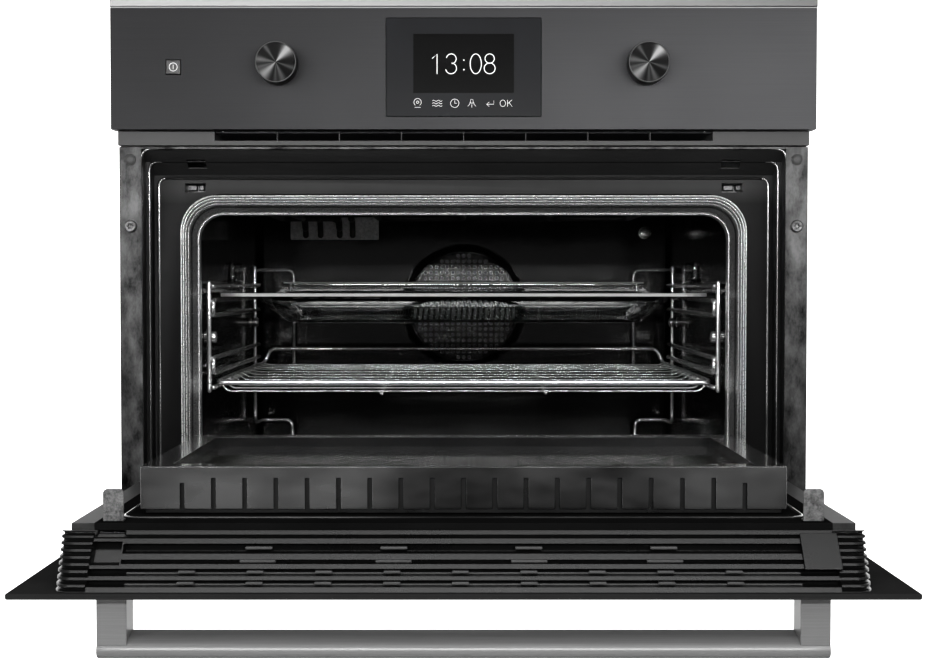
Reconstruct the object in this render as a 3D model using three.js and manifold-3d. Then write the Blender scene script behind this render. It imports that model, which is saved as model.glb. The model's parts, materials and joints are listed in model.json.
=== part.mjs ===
// A built-in compact oven with a drop-down door, standing open, as an assembly of separate pieces.
//
// Millimetres. +X is to the right as the user faces the oven, +Y runs into the oven, +Z is up.
// Every piece is drawn in the front's own frame: y = 0 is the fascia's face, z = 0 the underside of the
// base plate. The exported group is then moved so that its origin is the middle of that underside.
// The door is drawn lying open; it closes by turning a quarter turn about its hinge line.

import * as THREE from "three";
import { mergeVertices } from "three/addons/utils/BufferGeometryUtils.js";
import Module from "manifold-3d";

const wasm = await Module();
wasm.setup();

// ---- Driving dimensions ----------------------------------------------------------------------------

const FRONT_HALF = 297.5; // half the width of the fascia and the door
const TOP = 455; // top of the fascia's bright trim
const BODY_HALF = 279.5; // half the width of the housing that goes into the niche
const BODY_TOP = 448;
const BODY_FRONT = 22;
const BODY_BACK = 556;
const DEPTH_BACK = 566; // rearmost face, the terminal cover
const SHEET = 1.2; // sheet steel
const GAP = 0.3; // between pieces that touch

const FASCIA_BOTTOM = 345;
const FASCIA_TOP = 447;
const FRAME_Y = 20; // face of the front frame, behind the fascia's face
const FLANGE_Y = 55; // the frame's sunk flange that carries the seal
const RECESS_HALF = 276;
const RECESS_STEP_Y = 37;
const RECESS_STEP_HALF = 272;
const RECESS_BOTTOM = 8;

const SEAL_CENTRE_Z = 155.5;
const SEAL_HALF = [248, 137];
const MOUTH_HALF = [235, 120];
const MOUTH_Y = 80.5; // front of the cavity liner

const CAVITY_HALF = 237;
const CAVITY_FLOOR = 33;
const CAVITY_CEILING = 298;
const CAVITY_BACK = 522;
const LINER = 1.5;

const FAN_Z = 188;
const FAN_COVER_Y = 489;
const RACK_X = 227;
const RACK_UPRIGHT_X = 231;
const RACK_FRONT = 95;
const RACK_BACK = 406;
const GUIDE_HEIGHTS = [120.5, 133.5, 147.5, 186, 199.5, 212.5];
const GUIDE_RADIUS = 2.2;

const HINGE = { y: 8, z: 18.3 };
const DOOR_FREE_EDGE = -315.6;
const DOOR_SKIN = [10.3, 14.3]; // lowest and highest z of the outer glass, door open
const DOOR_PLATE_TOP = 54.8;
const DOOR_PLATE_HALF = 263;
const CHOKE_HALF = 224.3;
const CHOKE_Y = [-241.7, -16.7];
const CHOKE_Z = [58.7, 88.4];
const WINDOW_HALF = 204;
const WINDOW_Y = [-224, -35];
const LATCH_X = 236;
const HANDLE_HALF = 242;
const HANDLE_BOTTOM = -33.8;
const HANDLE_Y = [-300, -276];
const HANDLE_THICK = [9.7, 16.2]; // of the bar, at its free side and at its hinge side
const WINDOW_GLASS_Z = [76.6, 80.6];
const MIDDLE_GLASS = { half: 256, y: [-272, -8], z: [30, 34] };

const OUTLET = { z: [332.6, 344.6], face: 21, slotHalf: 212, slotBottom: 336.7, pitch: 53 };

const KNOB_RADIUS = 17.25;
const KNOB_REACH = 20;
const KNOBS = { left: -156, right: 154 };
const CONTROLS_Z = 399;
const BUTTON = { x: -244.5, z: 397.2, half: 6.15 };

// ---- Finishes --------------------------------------------------------------------------------------

const finish = (color, roughness, metalness) =>
  new THREE.MeshStandardMaterial({ color, roughness, metalness, flatShading: true });

const looks = {
  darkSteel: finish(0x54565a, 0.38, 1),
  satinSteel: finish(0x8d9094, 0.4, 1),
  silver: finish(0xc4c6c9, 0.3, 1),
  galvanised: finish(0xa7abae, 0.5, 0.9),
  enamel: finish(0x0b0b0d, 0.12, 0),
  chrome: finish(0xd8dadc, 0.12, 1),
  blackGlass: finish(0x17181a, 0.06, 0),
  clearGlass: finish(0xbfc8c8, 0.05, 0),
  blackPlastic: finish(0x121315, 0.4, 0),
  greyPlastic: finish(0x4a4c50, 0.5, 0),
  seal: finish(0x8a8c8e, 0.7, 0.2),
  heater: finish(0x2c2c2e, 0.5, 0.8),
  board: finish(0x1f4a33, 0.6, 0),
  wool: finish(0xcfc7a8, 0.95, 0),
};

// ---- Solids ----------------------------------------------------------------------------------------

const V3 = (x, y, z) => new THREE.Vector3(x, y, z);

// A closed three.js geometry as a solid that can be joined and cut.
function solid(geometry) {
  geometry.deleteAttribute("normal");
  geometry.deleteAttribute("uv");
  const merged = mergeVertices(geometry, 1e-4);
  return new wasm.Manifold(
    new wasm.Mesh({
      numProp: 3,
      vertProperties: new Float32Array(merged.attributes.position.array),
      triVerts: new Uint32Array(merged.index.array),
    }),
  );
}

// A solid back as a three.js geometry.
function geometryOf(body) {
  const made = body.getMesh();
  const geometry = new THREE.BufferGeometry();
  geometry.setAttribute("position", new THREE.BufferAttribute(made.vertProperties, 3));
  geometry.setIndex(new THREE.BufferAttribute(made.triVerts, 1));
  return geometry;
}

const join = (bodies) => bodies.reduce((all, next) => all.add(next));

const cut = (body, holes) => holes.reduce((left, hole) => left.subtract(hole), body);

// The lower and upper end of a stretch on one side of the oven: side is -1 on the left, 1 on the right.
const span = (side, a, b) => [Math.min(side * a, side * b), Math.max(side * a, side * b)];

function block([x0, x1], [y0, y1], [z0, z1]) {
  const geometry = new THREE.BoxGeometry(x1 - x0, y1 - y0, z1 - z0);
  return solid(geometry.translate((x0 + x1) / 2, (y0 + y1) / 2, (z0 + z1) / 2));
}

// A round bar between two points.
function rod(a, b, radius, sides = 12) {
  const along = b.clone().sub(a);
  const geometry = new THREE.CylinderGeometry(radius, radius, along.length(), sides);
  const turn = new THREE.Quaternion().setFromUnitVectors(V3(0, 1, 0), along.normalize());
  const middle = a.clone().add(b).multiplyScalar(0.5);
  return solid(geometry.applyQuaternion(turn).translate(middle.x, middle.y, middle.z));
}

const polygon = (points) => new THREE.Shape(points.map(([a, b]) => new THREE.Vector2(a, b)));

function roundRect([cx, cy], [hx, hy], r) {
  const quarter = Math.PI / 2;
  const shape = new THREE.Shape();
  shape.absarc(cx + hx - r, cy - hy + r, r, -quarter, 0);
  shape.absarc(cx + hx - r, cy + hy - r, r, 0, quarter);
  shape.absarc(cx - hx + r, cy + hy - r, r, quarter, 2 * quarter);
  shape.absarc(cx - hx + r, cy - hy + r, r, 2 * quarter, 3 * quarter);
  return shape;
}

// An outline carried along one axis. Along x its points are (y, z), along y (x, z) and along z (x, y).
function prism(axis, outline, [from, to], arcSteps = 2) {
  const settings = { depth: to - from, bevelEnabled: false, curveSegments: arcSteps };
  const geometry = new THREE.ExtrudeGeometry(outline, settings);
  if (axis === "x") {
    const turn = new THREE.Matrix4().makeBasis(V3(0, 1, 0), V3(0, 0, 1), V3(1, 0, 0));
    geometry.applyMatrix4(turn).translate(from, 0, 0);
  } else if (axis === "y") {
    geometry.rotateX(Math.PI / 2).translate(0, to, 0);
  } else {
    geometry.translate(0, 0, from);
  }
  return solid(geometry);
}

// A profile of (radius, y) points turned about the y axis, from the axis at its low end round to the axis.
function turned(points, segments = 24) {
  const profile = points.map(([r, y]) => new THREE.Vector2(r, y));
  return solid(new THREE.LatheGeometry(profile, segments));
}

// The closed skin between two convex rings of as many points, the lower one first.
function loft(lower, upper) {
  const n = lower.length;
  const faces = [];
  for (let i = 0; i < n; i++) {
    const j = (i + 1) % n;
    faces.push(i, j, n + j, i, n + j, n + i);
  }
  for (let i = 1; i < n - 1; i++) {
    faces.push(0, i + 1, i, n, n + i, n + i + 1);
  }
  const geometry = new THREE.BufferGeometry().setFromPoints([...lower, ...upper]);
  geometry.setIndex(faces);
  return solid(geometry);
}

// A bent bar's centre line: straight runs with round corners, stepped only where it bends.
class BentLine extends THREE.Curve {
  constructor(corners, bend, bendSteps = 4) {
    super();
    this.stops = [corners[0]];
    for (let i = 1; i < corners.length - 1; i++) {
      const into = corners[i].clone().sub(corners[i - 1]).setLength(bend);
      const out = corners[i + 1].clone().sub(corners[i]).setLength(bend);
      const start = corners[i].clone().sub(into);
      const end = corners[i].clone().add(out);
      const curve = new THREE.QuadraticBezierCurve3(start, corners[i], end);
      this.stops.push(...curve.getPoints(bendSteps));
    }
    this.stops.push(corners.at(-1));
  }

  get steps() {
    return this.stops.length - 1;
  }

  getPointAt(u) {
    return this.stops[Math.round(u * this.steps)];
  }

  getTangentAt(u) {
    const i = Math.round(u * this.steps);
    const before = this.stops[Math.max(i - 1, 0)];
    const after = this.stops[Math.min(i + 1, this.steps)];
    return after.clone().sub(before).normalize();
  }
}

// A round bar bent through the given corners.
function bentRod(corners, bend, radius, sides = 8) {
  const line = new BentLine(corners, bend);
  const ring = [];
  for (let i = 0; i < sides; i++) {
    const angle = (2 * Math.PI * i) / sides;
    ring.push([radius * Math.cos(angle), radius * Math.sin(angle)]);
  }
  const settings = { steps: line.steps, extrudePath: line, bevelEnabled: false };
  return solid(new THREE.ExtrudeGeometry(polygon(ring), settings));
}

const oven = new THREE.Group();

// A group that shares one motion, so that the scene graph reads as the oven comes apart.
function assembly() {
  const group = new THREE.Group();
  oven.add(group);
  return group;
}

function add(group, name, body, look, [x, y, z] = [0, 0, 0]) {
  const mesh = new THREE.Mesh(geometryOf(body), look);
  mesh.name = name;
  mesh.position.set(x, y, z);
  group.add(mesh);
}

const SIDES = [
  ["left", -1],
  ["right", 1],
];

// ---- Housing ---------------------------------------------------------------------------------------

const housing = assembly();

// A sleeve of sheet steel over the top and both sides, with rows of cooling slots near the back.
function housingShell() {
  const inner = BODY_HALF - 1.3;
  const outline = polygon([
    [-BODY_HALF, 2],
    [-inner, 2],
    [-inner, BODY_TOP - 1.3],
    [inner, BODY_TOP - 1.3],
    [inner, 2],
    [BODY_HALF, 2],
    [BODY_HALF, BODY_TOP],
    [-BODY_HALF, BODY_TOP],
  ]);
  const slots = [];
  for (let i = 0; i < 9; i++) {
    const x = -120 + 30 * i;
    slots.push(block([x - 2.5, x + 2.5], [470, 520], [BODY_TOP - 5, BODY_TOP + 5]));
  }
  for (let i = 0; i < 6; i++) {
    const z = 370 + 11 * i;
    slots.push(block([-BODY_HALF - 5, BODY_HALF + 5], [420, 500], [z - 2.2, z + 2.2]));
  }
  return cut(prism("y", outline, [BODY_FRONT, BODY_BACK]), slots);
}

function basePlate() {
  const walls = SIDES.map(([, side]) => block(span(side, 276.3, 277.8), [62, 555], [1, 14]));
  const plate = block([-BODY_HALF, BODY_HALF], [BODY_FRONT, BODY_BACK], [0, 1.6]);
  const slots = [];
  for (let i = 0; i < 8; i++) {
    const x = -105 + 30 * i;
    slots.push(block([x - 4, x + 4], [440, 500], [-5, 5]));
  }
  return cut(join([plate, ...walls]), slots);
}

// The back, pressed out over the fan motor, with slots where air is drawn in.
function rearPanel() {
  const sheet = [BODY_BACK + GAP, BODY_BACK + GAP + SHEET];
  const bulge = (half, y) => {
    const ring = roundRect([0, FAN_Z], half, 18).getPoints(2);
    return ring.map((p) => V3(p.x, y, p.y));
  };
  const outer = loft(bulge([116, 100], sheet[1] + 4), bulge([124, 108], sheet[0]));
  const inner = loft(bulge([114.5, 98.5], sheet[1] + 2.8), bulge([123, 107], sheet[0] - 1));
  const slots = [];
  for (const [z0, count] of [[24, 4], [318, 5]]) {
    for (let i = 0; i < count; i++) {
      const z = z0 + 11 * i;
      slots.push(block([-150, -10], [550, 565], [z - 2.5, z + 2.5]));
      slots.push(block([10, 150], [550, 565], [z - 2.5, z + 2.5]));
    }
  }
  const plate = block([-BODY_HALF, BODY_HALF], sheet, [0, BODY_TOP]);
  return cut(join([plate, outer]), [inner, ...slots]);
}

// The recess the door closes into, from the frame's face back to the flange behind the seal.
const recessTop = (y) => 330 - ((y - FRAME_Y) * 20) / 35;

function recess(grow) {
  const low = RECESS_BOTTOM - grow;
  const front = FRAME_Y - (grow ? 0 : 1);
  const section = (from, to) =>
    polygon([
      [from, low],
      [to, low],
      [to, recessTop(to) + grow],
      [from, recessTop(from) + grow],
    ]);
  const wide = [-RECESS_HALF - grow, RECESS_HALF + grow];
  const narrow = [-RECESS_STEP_HALF - grow, RECESS_STEP_HALF + grow];
  return join([
    prism("x", section(front, RECESS_STEP_Y + grow), wide),
    prism("x", section(RECESS_STEP_Y, FLANGE_Y + grow), narrow),
  ]);
}

function frontFrame() {
  const face = block([-295, 295], [FRAME_Y, FRAME_Y + SHEET], [3, 332]);
  const seat = roundRect([0, SEAL_CENTRE_Z], SEAL_HALF.map((half) => half + 1), 33);
  const holes = [prism("y", seat, [FLANGE_Y - 5, FLANGE_Y + 5])];
  for (const [, side] of SIDES) {
    holes.push(block(span(side, LATCH_X - 9, LATCH_X + 9), [50, 60], [295, 303]));
    holes.push(block(span(side, 224, 240), [34, 46], [300, 340]));
    holes.push(block(span(side, 264.6, 270.4), [50, 60], [13, 23.6]));
    holes.push(rod(V3(side * 285.5, 15, 321), V3(side * 285.5, 25, 321), 4));
    holes.push(rod(V3(side * 285.5, 15, 264), V3(side * 285.5, 25, 264), 3));
  }
  return cut(join([face, recess(SHEET)]), [recess(0), ...holes]);
}

// The strip under the fascia that lets the cooling air out, with thin blades across its slot.
function airOutletStrip() {
  const { z, face, slotHalf, slotBottom, pitch } = OUTLET;
  const bar = block([-FRONT_HALF + 3, FRONT_HALF - 3], [13, face], z);
  const slot = block([-slotHalf, slotHalf], [10, 25], [slotBottom, z[1] + 5]);
  const blades = [];
  for (let i = -3; i <= 3; i++) {
    blades.push(block([pitch * i - 0.5, pitch * i + 0.5], [14, face], [slotBottom - 0.8, z[1]]));
  }
  return join([cut(bar, [slot]), ...blades]);
}

function airDuct() {
  const channel = block([-214, 214], [BODY_FRONT, 300], [333, 345]);
  const hood = block([-140, 140], [298, 372], [333, 400]);
  const hollows = [
    block([-212.8, 212.8], [BODY_FRONT - 5, 301], [334.2, 343.8]),
    block([-138.8, 138.8], [299.2, 370.8], [334.2, 398.8]),
    block([-120, 120], [330, 350], [395, 405]),
    rod(V3(130, 336, 366), V3(150, 336, 366), 5),
  ];
  return cut(join([channel, hood]), hollows);
}

add(housing, "housing_shell", housingShell(), looks.galvanised);
add(housing, "base_plate", basePlate(), looks.galvanised);
add(housing, "rear_panel", rearPanel(), looks.galvanised);
add(housing, "front_frame", frontFrame(), looks.satinSteel);
add(housing, "air_outlet_strip", airOutletStrip(), looks.greyPlastic);
add(housing, "air_duct", airDuct(), looks.galvanised);

// A cap over the mains terminals, with a hole where a lead would enter.
function terminalBox() {
  const front = BODY_BACK + GAP + SHEET + GAP;
  const shell = block([170, 240], [front, DEPTH_BACK], [385, 435]);
  const hollow = block([171.5, 238.5], [front - 1, DEPTH_BACK - 1.5], [386.5, 433.5]);
  const entry = block([198, 212], [front + 1, DEPTH_BACK - 2], [380, 390]);
  return cut(shell, [hollow, entry]);
}

add(housing, "terminal_box", terminalBox(), looks.blackPlastic);

// ---- Fascia and controls ---------------------------------------------------------------------------

function fasciaPanel() {
  const inner = [FASCIA_BOTTOM + SHEET, FASCIA_TOP - SHEET];
  const shell = block([-FRONT_HALF, FRONT_HALF], [0, FRAME_Y - 0.4], [FASCIA_BOTTOM, FASCIA_TOP]);
  const insert = roundRect([0, 397.05], [65.6, 41.6], 1.5);
  const { x, z, half } = BUTTON;
  const holes = [
    block([-FRONT_HALF + SHEET, FRONT_HALF - SHEET], [1.5, 25], inner),
    prism("y", insert, [-5, 5]),
    block([x - half - GAP, x + half + GAP], [-5, 5], [z - half - GAP, z + half + GAP]),
    ...Object.values(KNOBS).map((at) => rod(V3(at, -5, CONTROLS_Z), V3(at, 5, CONTROLS_Z), 4.5)),
  ];
  return cut(shell, holes);
}

// A bright moulding that caps the fascia and stands a little proud of its face.
function fasciaTopTrim() {
  const outline = polygon([
    [-1.7, FASCIA_TOP + GAP],
    [1.2, FASCIA_TOP + GAP],
    [1.2, TOP - 1.4],
    [FRAME_Y - 0.4, TOP - 1.4],
    [FRAME_Y - 0.4, TOP],
    [-1.7, TOP],
    [-2.5, TOP - 0.8],
    [-2.5, FASCIA_TOP + GAP + 0.8],
  ]);
  return prism("x", outline, [-FRONT_HALF, FRONT_HALF]);
}

// The plate behind the fascia that holds the board, the two rotary encoders and the key's switch.
function controlCarrier() {
  const plate = block([-278, 278], [FRAME_Y + GAP, FRAME_Y + GAP + SHEET], [346.5, 446]);
  const encoders = Object.values(KNOBS).map((x) => {
    return block([x - 8, x + 8], [5, FRAME_Y + 1], [CONTROLS_Z - 8, CONTROLS_Z + 8]);
  });
  const bores = Object.values(KNOBS).map((x) => {
    return rod(V3(x, 0, CONTROLS_Z), V3(x, 16, CONTROLS_Z), 3.4);
  });
  const key = block([BUTTON.x - 5, BUTTON.x + 5], [7.5, FRAME_Y + 1], [BUTTON.z - 5, BUTTON.z + 5]);
  return cut(join([plate, key, ...encoders]), bores);
}

function controlBoard() {
  return join([
    block([-110, 110], [14, 15.6], [352, 440]),
    block([-100, -76], [15, 19.5], [360, 390]),
    block([76, 104], [15, 19.5], [404, 432]),
    block([-60, 60], [15, 18.5], [356, 364]),
    block([82, 100], [6, 15], [360, 380]),
  ]);
}

add(housing, "fascia_panel", fasciaPanel(), looks.darkSteel);
add(housing, "fascia_top_trim", fasciaTopTrim(), looks.silver);
add(
  housing,
  "display_glass",
  prism("y", roundRect([0, 397.05], [65.3, 41.3], 1.3), [-0.4, 1.6]),
  looks.blackGlass,
);
add(housing, "display_module", block([-50, 50], [2.2, 12], [368, 430]), looks.blackPlastic);
add(housing, "control_carrier", controlCarrier(), looks.blackPlastic);
add(housing, "control_board", controlBoard(), looks.board);

const KNOB_PROFILE = [
  [0, -KNOB_REACH],
  [KNOB_RADIUS - 1, -KNOB_REACH],
  [KNOB_RADIUS, -KNOB_REACH + 1],
  [KNOB_RADIUS, -0.8],
  [3, -0.8],
  [3, 15],
  [0, 15],
];

for (const [name, x] of Object.entries(KNOBS)) {
  add(assembly(), "knob_" + name, turned(KNOB_PROFILE, 32), looks.blackPlastic, [x, 0, CONTROLS_Z]);
}

const key = block([-BUTTON.half, BUTTON.half], [-0.8, 5.5], [-BUTTON.half, BUTTON.half]);
add(assembly(), "power_button", key, looks.darkSteel, [BUTTON.x, 0, BUTTON.z]);

// ---- Cavity ----------------------------------------------------------------------------------------

function cavityLiner() {
  const half = CAVITY_HALF + LINER;
  const shell = block(
    [-half, half],
    [MOUTH_Y, CAVITY_BACK + LINER],
    [CAVITY_FLOOR - LINER, CAVITY_CEILING + LINER],
  );
  const room = block(
    [-CAVITY_HALF, CAVITY_HALF],
    [MOUTH_Y + LINER, CAVITY_BACK],
    [CAVITY_FLOOR, CAVITY_CEILING],
  );
  const mouth = prism("y", roundRect([0, SEAL_CENTRE_Z], MOUTH_HALF, 21), [75, 90]);
  const holes = [rod(V3(0, 510, FAN_Z), V3(0, 530, FAN_Z), 8)];
  for (const [, side] of SIDES) {
    holes.push(rod(V3(side * 14, 510, FAN_Z + 82.8), V3(side * 14, 530, FAN_Z + 82.8), 4.5, 8));
  }
  return cut(shell, [room, mouth, ...holes]);
}

// The seal round the mouth: four ribs, each sunk further in than the one outside it.
function doorSeal() {
  const ribs = [];
  const starts = [46, 50, 55, 64];
  for (let i = 0; i < 4; i++) {
    const at = (t) => SEAL_HALF.map((half, k) => half + (MOUTH_HALF[k] - half) * t);
    const ring = roundRect([0, SEAL_CENTRE_Z], at(i / 4 - (i ? 0.02 : 0)), 32 - 2.7 * i);
    ring.holes.push(roundRect([0, SEAL_CENTRE_Z], at((i + 1) / 4), 32 - 2.7 * (i + 1)));
    ribs.push(prism("y", ring, [starts[i], MOUTH_Y - GAP]));
  }
  return join(ribs);
}

// The grille plate in front of the convection fan: a round raised dome with slots.
function fanCover() {
  const plate = block([-236.4, 236.4], [FAN_COVER_Y, FAN_COVER_Y + SHEET], [33.5, 297.5]);
  const hole = rod(V3(0, 470, FAN_Z), V3(0, 500, FAN_Z), 71, 32);
  const face = FAN_COVER_Y - 6;
  const dome = turned(
    [
      [0, face],
      [62, face],
      [72, FAN_COVER_Y],
      [72, FAN_COVER_Y + SHEET],
      [70.2, FAN_COVER_Y + SHEET],
      [61.4, face + SHEET],
      [0, face + SHEET],
    ],
    32,
  ).translate([0, 0, FAN_Z]);
  const slots = [];
  for (let i = -3; i <= 3; i++) {
    const z = 15 * i;
    const half = Math.sqrt(57 * 57 - z * z);
    slots.push(block([-half, half], [face - 5, face + 5], [FAN_Z + z - 3, FAN_Z + z + 3]));
  }
  return cut(join([cut(plate, [hole]), dome]), slots);
}

function convectionFan() {
  const spindle = turned([
    [0, 493],
    [6, 493],
    [6, 500],
    [13, 500],
    [13, 513],
    [62, 513],
    [62, 514.2],
    [4, 514.2],
    [4, 532],
    [0, 532],
  ]);
  const blades = [];
  for (let i = 0; i < 12; i++) {
    const blade = new THREE.BoxGeometry(32, 18, 1.4).rotateY(0.5).translate(44, 505, 0);
    blades.push(solid(blade.rotateY((Math.PI * i) / 6)));
  }
  return join([spindle, ...blades]);
}

function fanMotor() {
  const can = rod(V3(0, 526, FAN_Z), V3(0, 552, FAN_Z), 34, 24);
  const foot = block([-58, 58], [525, 526.5], [FAN_Z - 14, FAN_Z + 14]);
  return cut(join([can, foot]), [rod(V3(0, 520, FAN_Z), V3(0, 535, FAN_Z), 5)]);
}

// A round heating rod about the fan, with two tails through the liner's back.
function ringElement() {
  const ring = new THREE.TorusGeometry(84, 3.2, 6, 24).rotateX(Math.PI / 2).translate(0, 505, FAN_Z);
  const tails = SIDES.map(([, side]) => {
    return rod(V3(side * 14, 503, FAN_Z + 82.8), V3(side * 14, 534, FAN_Z + 82.8), 3.2, 8);
  });
  return join([solid(ring), ...tails]);
}

// The grill rod under the ceiling: out from its bracket, forward, and back in three loops.
function grillElement() {
  const z = 288;
  const path = [V3(-182, 482.6, 277), V3(-182, 474, 277), V3(-182, 462, z), V3(-182, 130, z)];
  for (const [x, turnY] of [[-95, 130], [-95, 440], [0, 440], [0, 130], [95, 130], [95, 440]]) {
    path.push(V3(x, turnY, z));
  }
  path.push(V3(185, 440, z), V3(185, 112, z), V3(-205, 112, z), V3(-205, 452, z));
  path.push(V3(-143, 456, z), V3(-143, 470, 277), V3(-143, 482.6, 277));
  return bentRod(path, 8, 3.2, 6);
}

function grillBracket() {
  const plate = block([-200, -98], [483, 486], [265, 291]);
  const screws = [-194, -149, -110].map((x) => rod(V3(x, 480.6, 272), V3(x, 484, 272), 4, 10));
  return join([plate, ...screws]);
}

// Hangs on the side wall: three pairs of guide wires, two uprights, wall bushes and a foot at the back.
function sideRack(side) {
  const x = side * RACK_X;
  const upright = side * RACK_UPRIGHT_X;
  const wires = GUIDE_HEIGHTS.map((z) => {
    return rod(V3(x, RACK_FRONT - 3, z), V3(x, RACK_BACK + 3, z), GUIDE_RADIUS, 8);
  });
  wires.push(rod(V3(upright, RACK_FRONT, 117), V3(upright, RACK_FRONT, 216), 2.4, 8));
  wires.push(rod(V3(upright, RACK_BACK, 60), V3(upright, RACK_BACK, 233), 2.4, 8));
  for (const [y, from, z] of [[RACK_FRONT, 104, 166], [RACK_BACK, 396, 172]]) {
    wires.push(block(span(side, 229.6, 232.4), [Math.min(y, from), Math.max(y, from)], [z - 4, z + 4]));
    wires.push(rod(V3(side * 225, from, z), V3(side * (CAVITY_HALF - GAP), from, z), 5.5, 10));
  }
  const foot = [
    V3(upright, RACK_BACK, 62),
    V3(upright, 470, 58),
    V3(side * 197, 470, 58),
    V3(side * 197, 470, CAVITY_FLOOR + GAP),
  ];
  const arm = [
    V3(upright, RACK_BACK, 230),
    V3(upright, 462, 230),
    V3(side * 196, 480, 230),
    V3(side * 196, 480, 216),
  ];
  return join([...wires, bentRod(foot, 8, 2.2, 6), bentRod(arm, 8, 2.2, 6)]);
}

add(housing, "cavity_liner", cavityLiner(), looks.enamel);
add(housing, "door_seal", doorSeal(), looks.seal);
add(housing, "fan_cover", fanCover(), looks.enamel);
add(assembly(), "convection_fan", convectionFan(), looks.galvanised, [0, 0, FAN_Z]);
add(housing, "fan_motor", fanMotor(), looks.galvanised);
add(housing, "ring_element", ringElement(), looks.heater);
add(housing, "grill_element", grillElement(), looks.heater);
add(housing, "grill_bracket", grillBracket(), looks.chrome);
const probe = rod(V3(209, 479, 273), V3(209, FAN_COVER_Y - GAP, 273), 7.25, 16);
add(housing, "temperature_probe", probe, looks.chrome);
for (const [name, side] of SIDES) {
  const lens = prism("x", roundRect([291, 226], [30, 10], 4), span(side, 231.6, CAVITY_HALF - GAP));
  add(housing, "side_rack_" + name, sideRack(side), looks.chrome);
  add(housing, "lamp_cover_" + name, lens, looks.clearGlass);
}

// Mineral wool round the liner, open at both ends.
function insulation() {
  const sleeve = block([-266, 266], [116, 520], [4, 322]);
  const room = block([-239.5, 239.5], [110, 530], [24, 300.5]);
  return cut(sleeve, [room, block([-197, -123], [398, 472], [290, 330])]);
}

add(housing, "insulation", insulation(), looks.wool);

// ---- Works above the cavity ------------------------------------------------------------------------

// Draws air through the works and blows it out under the fascia: two discs with blades between them.
function coolingFan() {
  const radius = 25;
  const spindle = turned([
    [0, -126],
    [radius, -126],
    [radius, -124.5],
    [4, -124.5],
    [4, 124.5],
    [radius, 124.5],
    [radius, 126],
    [3, 126],
    [3, 150],
    [0, 150],
  ]);
  const blades = [];
  for (let i = 0; i < 10; i++) {
    const blade = new THREE.BoxGeometry(7, 250, 1.2).rotateY(0.7).translate(radius - 4, 0, 0);
    blades.push(solid(blade.rotateY((2 * Math.PI * i) / 10)));
  }
  return join([spindle, ...blades]).rotate([0, 0, -90]);
}

function coolingFanMotor() {
  const can = rod(V3(143, 336, 366), V3(175, 336, 366), 22, 20);
  return cut(can, [rod(V3(140, 336, 366), V3(155, 336, 366), 3.6)]);
}

function componentShelf() {
  const plate = block([-277, 277], [376, 554], [345.6, 346.8]);
  return cut(plate, [block([-197, -123], [398, 472], [340, 350])]);
}

// The magnetron with its cooling fins, and the launcher that leads down to the cavity's ceiling.
function magnetron() {
  const parts = [
    block([-195, -125], [400, 470], [CAVITY_CEILING + LINER + GAP, 352]),
    block([-180, -140], [415, 455], [351, 424]),
    rod(V3(-160, 435, 420), V3(-160, 435, 438), 12, 16),
  ];
  for (let i = 0; i < 6; i++) {
    parts.push(block([-196, -124], [402, 468], [358 + 10 * i, 359.5 + 10 * i]));
  }
  return join(parts);
}

function transformer() {
  return join([
    block([95, 190], [400, 470], [347.2, 420]),
    block([108, 177], [388, 482], [360, 408]),
  ]);
}

add(assembly(), "cooling_fan", coolingFan(), looks.galvanised, [0, 336, 366]);
add(housing, "cooling_fan_motor", coolingFanMotor(), looks.galvanised);
add(housing, "component_shelf", componentShelf(), looks.galvanised);
add(housing, "magnetron", magnetron(), looks.galvanised);
add(housing, "transformer", transformer(), looks.heater);

// ---- Fittings in the frame -------------------------------------------------------------------------

// A block behind each latch slot that the door's tongue enters.
function latchSwitch(side) {
  const body = block(span(side, LATCH_X - 12, LATCH_X + 12), [56.6, 80], [292.6, 307]);
  const pocket = block(span(side, LATCH_X - 9, LATCH_X + 9), [50, 72], [295, 303]);
  return cut(body, [pocket]);
}

// Carries the door: a block behind the flange and a lug that reaches forward to the hinge line.
function hingeReceiver(side) {
  const { y, z } = HINGE;
  const radius = 3.7;
  const lug = join([
    block(span(side, 266, 269), [y, 60], [z - radius, z + radius]),
    rod(V3(side * 266, y, z), V3(side * 269, y, z), radius, 16),
  ]);
  const eye = rod(V3(side * 260, y, z), V3(side * 275, y, z), 2.3, 16);
  const body = block(span(side, 262, 271), [56.8, 112], [4, 60]);
  return cut(join([lug, body]), [eye]);
}

const plug = turned(
  [
    [0, -2.6],
    [3.6, -2.6],
    [4.8, -1.6],
    [4.8, -0.3],
    [3.4, -0.3],
    [3.4, 4],
    [0, 4],
  ],
  16,
);
const frameScrew = turned(
  [
    [0, -3.2],
    [4.2, -3.2],
    [5.4, -1.9],
    [5.4, -0.3],
    [2.2, -0.3],
    [2.2, 14],
    [0, 14],
  ],
  16,
);

for (const [name, side] of SIDES) {
  add(housing, "latch_switch_" + name, latchSwitch(side), looks.blackPlastic);
  add(housing, "hinge_receiver_" + name, hingeReceiver(side), looks.galvanised);
  add(housing, "frame_plug_" + name, plug, looks.greyPlastic, [side * 285.5, FRAME_Y, 321]);
  add(housing, "frame_screw_" + name, frameScrew, looks.chrome, [side * 285.5, FRAME_Y, 264]);
}

// ---- Tray and shelf --------------------------------------------------------------------------------

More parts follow.
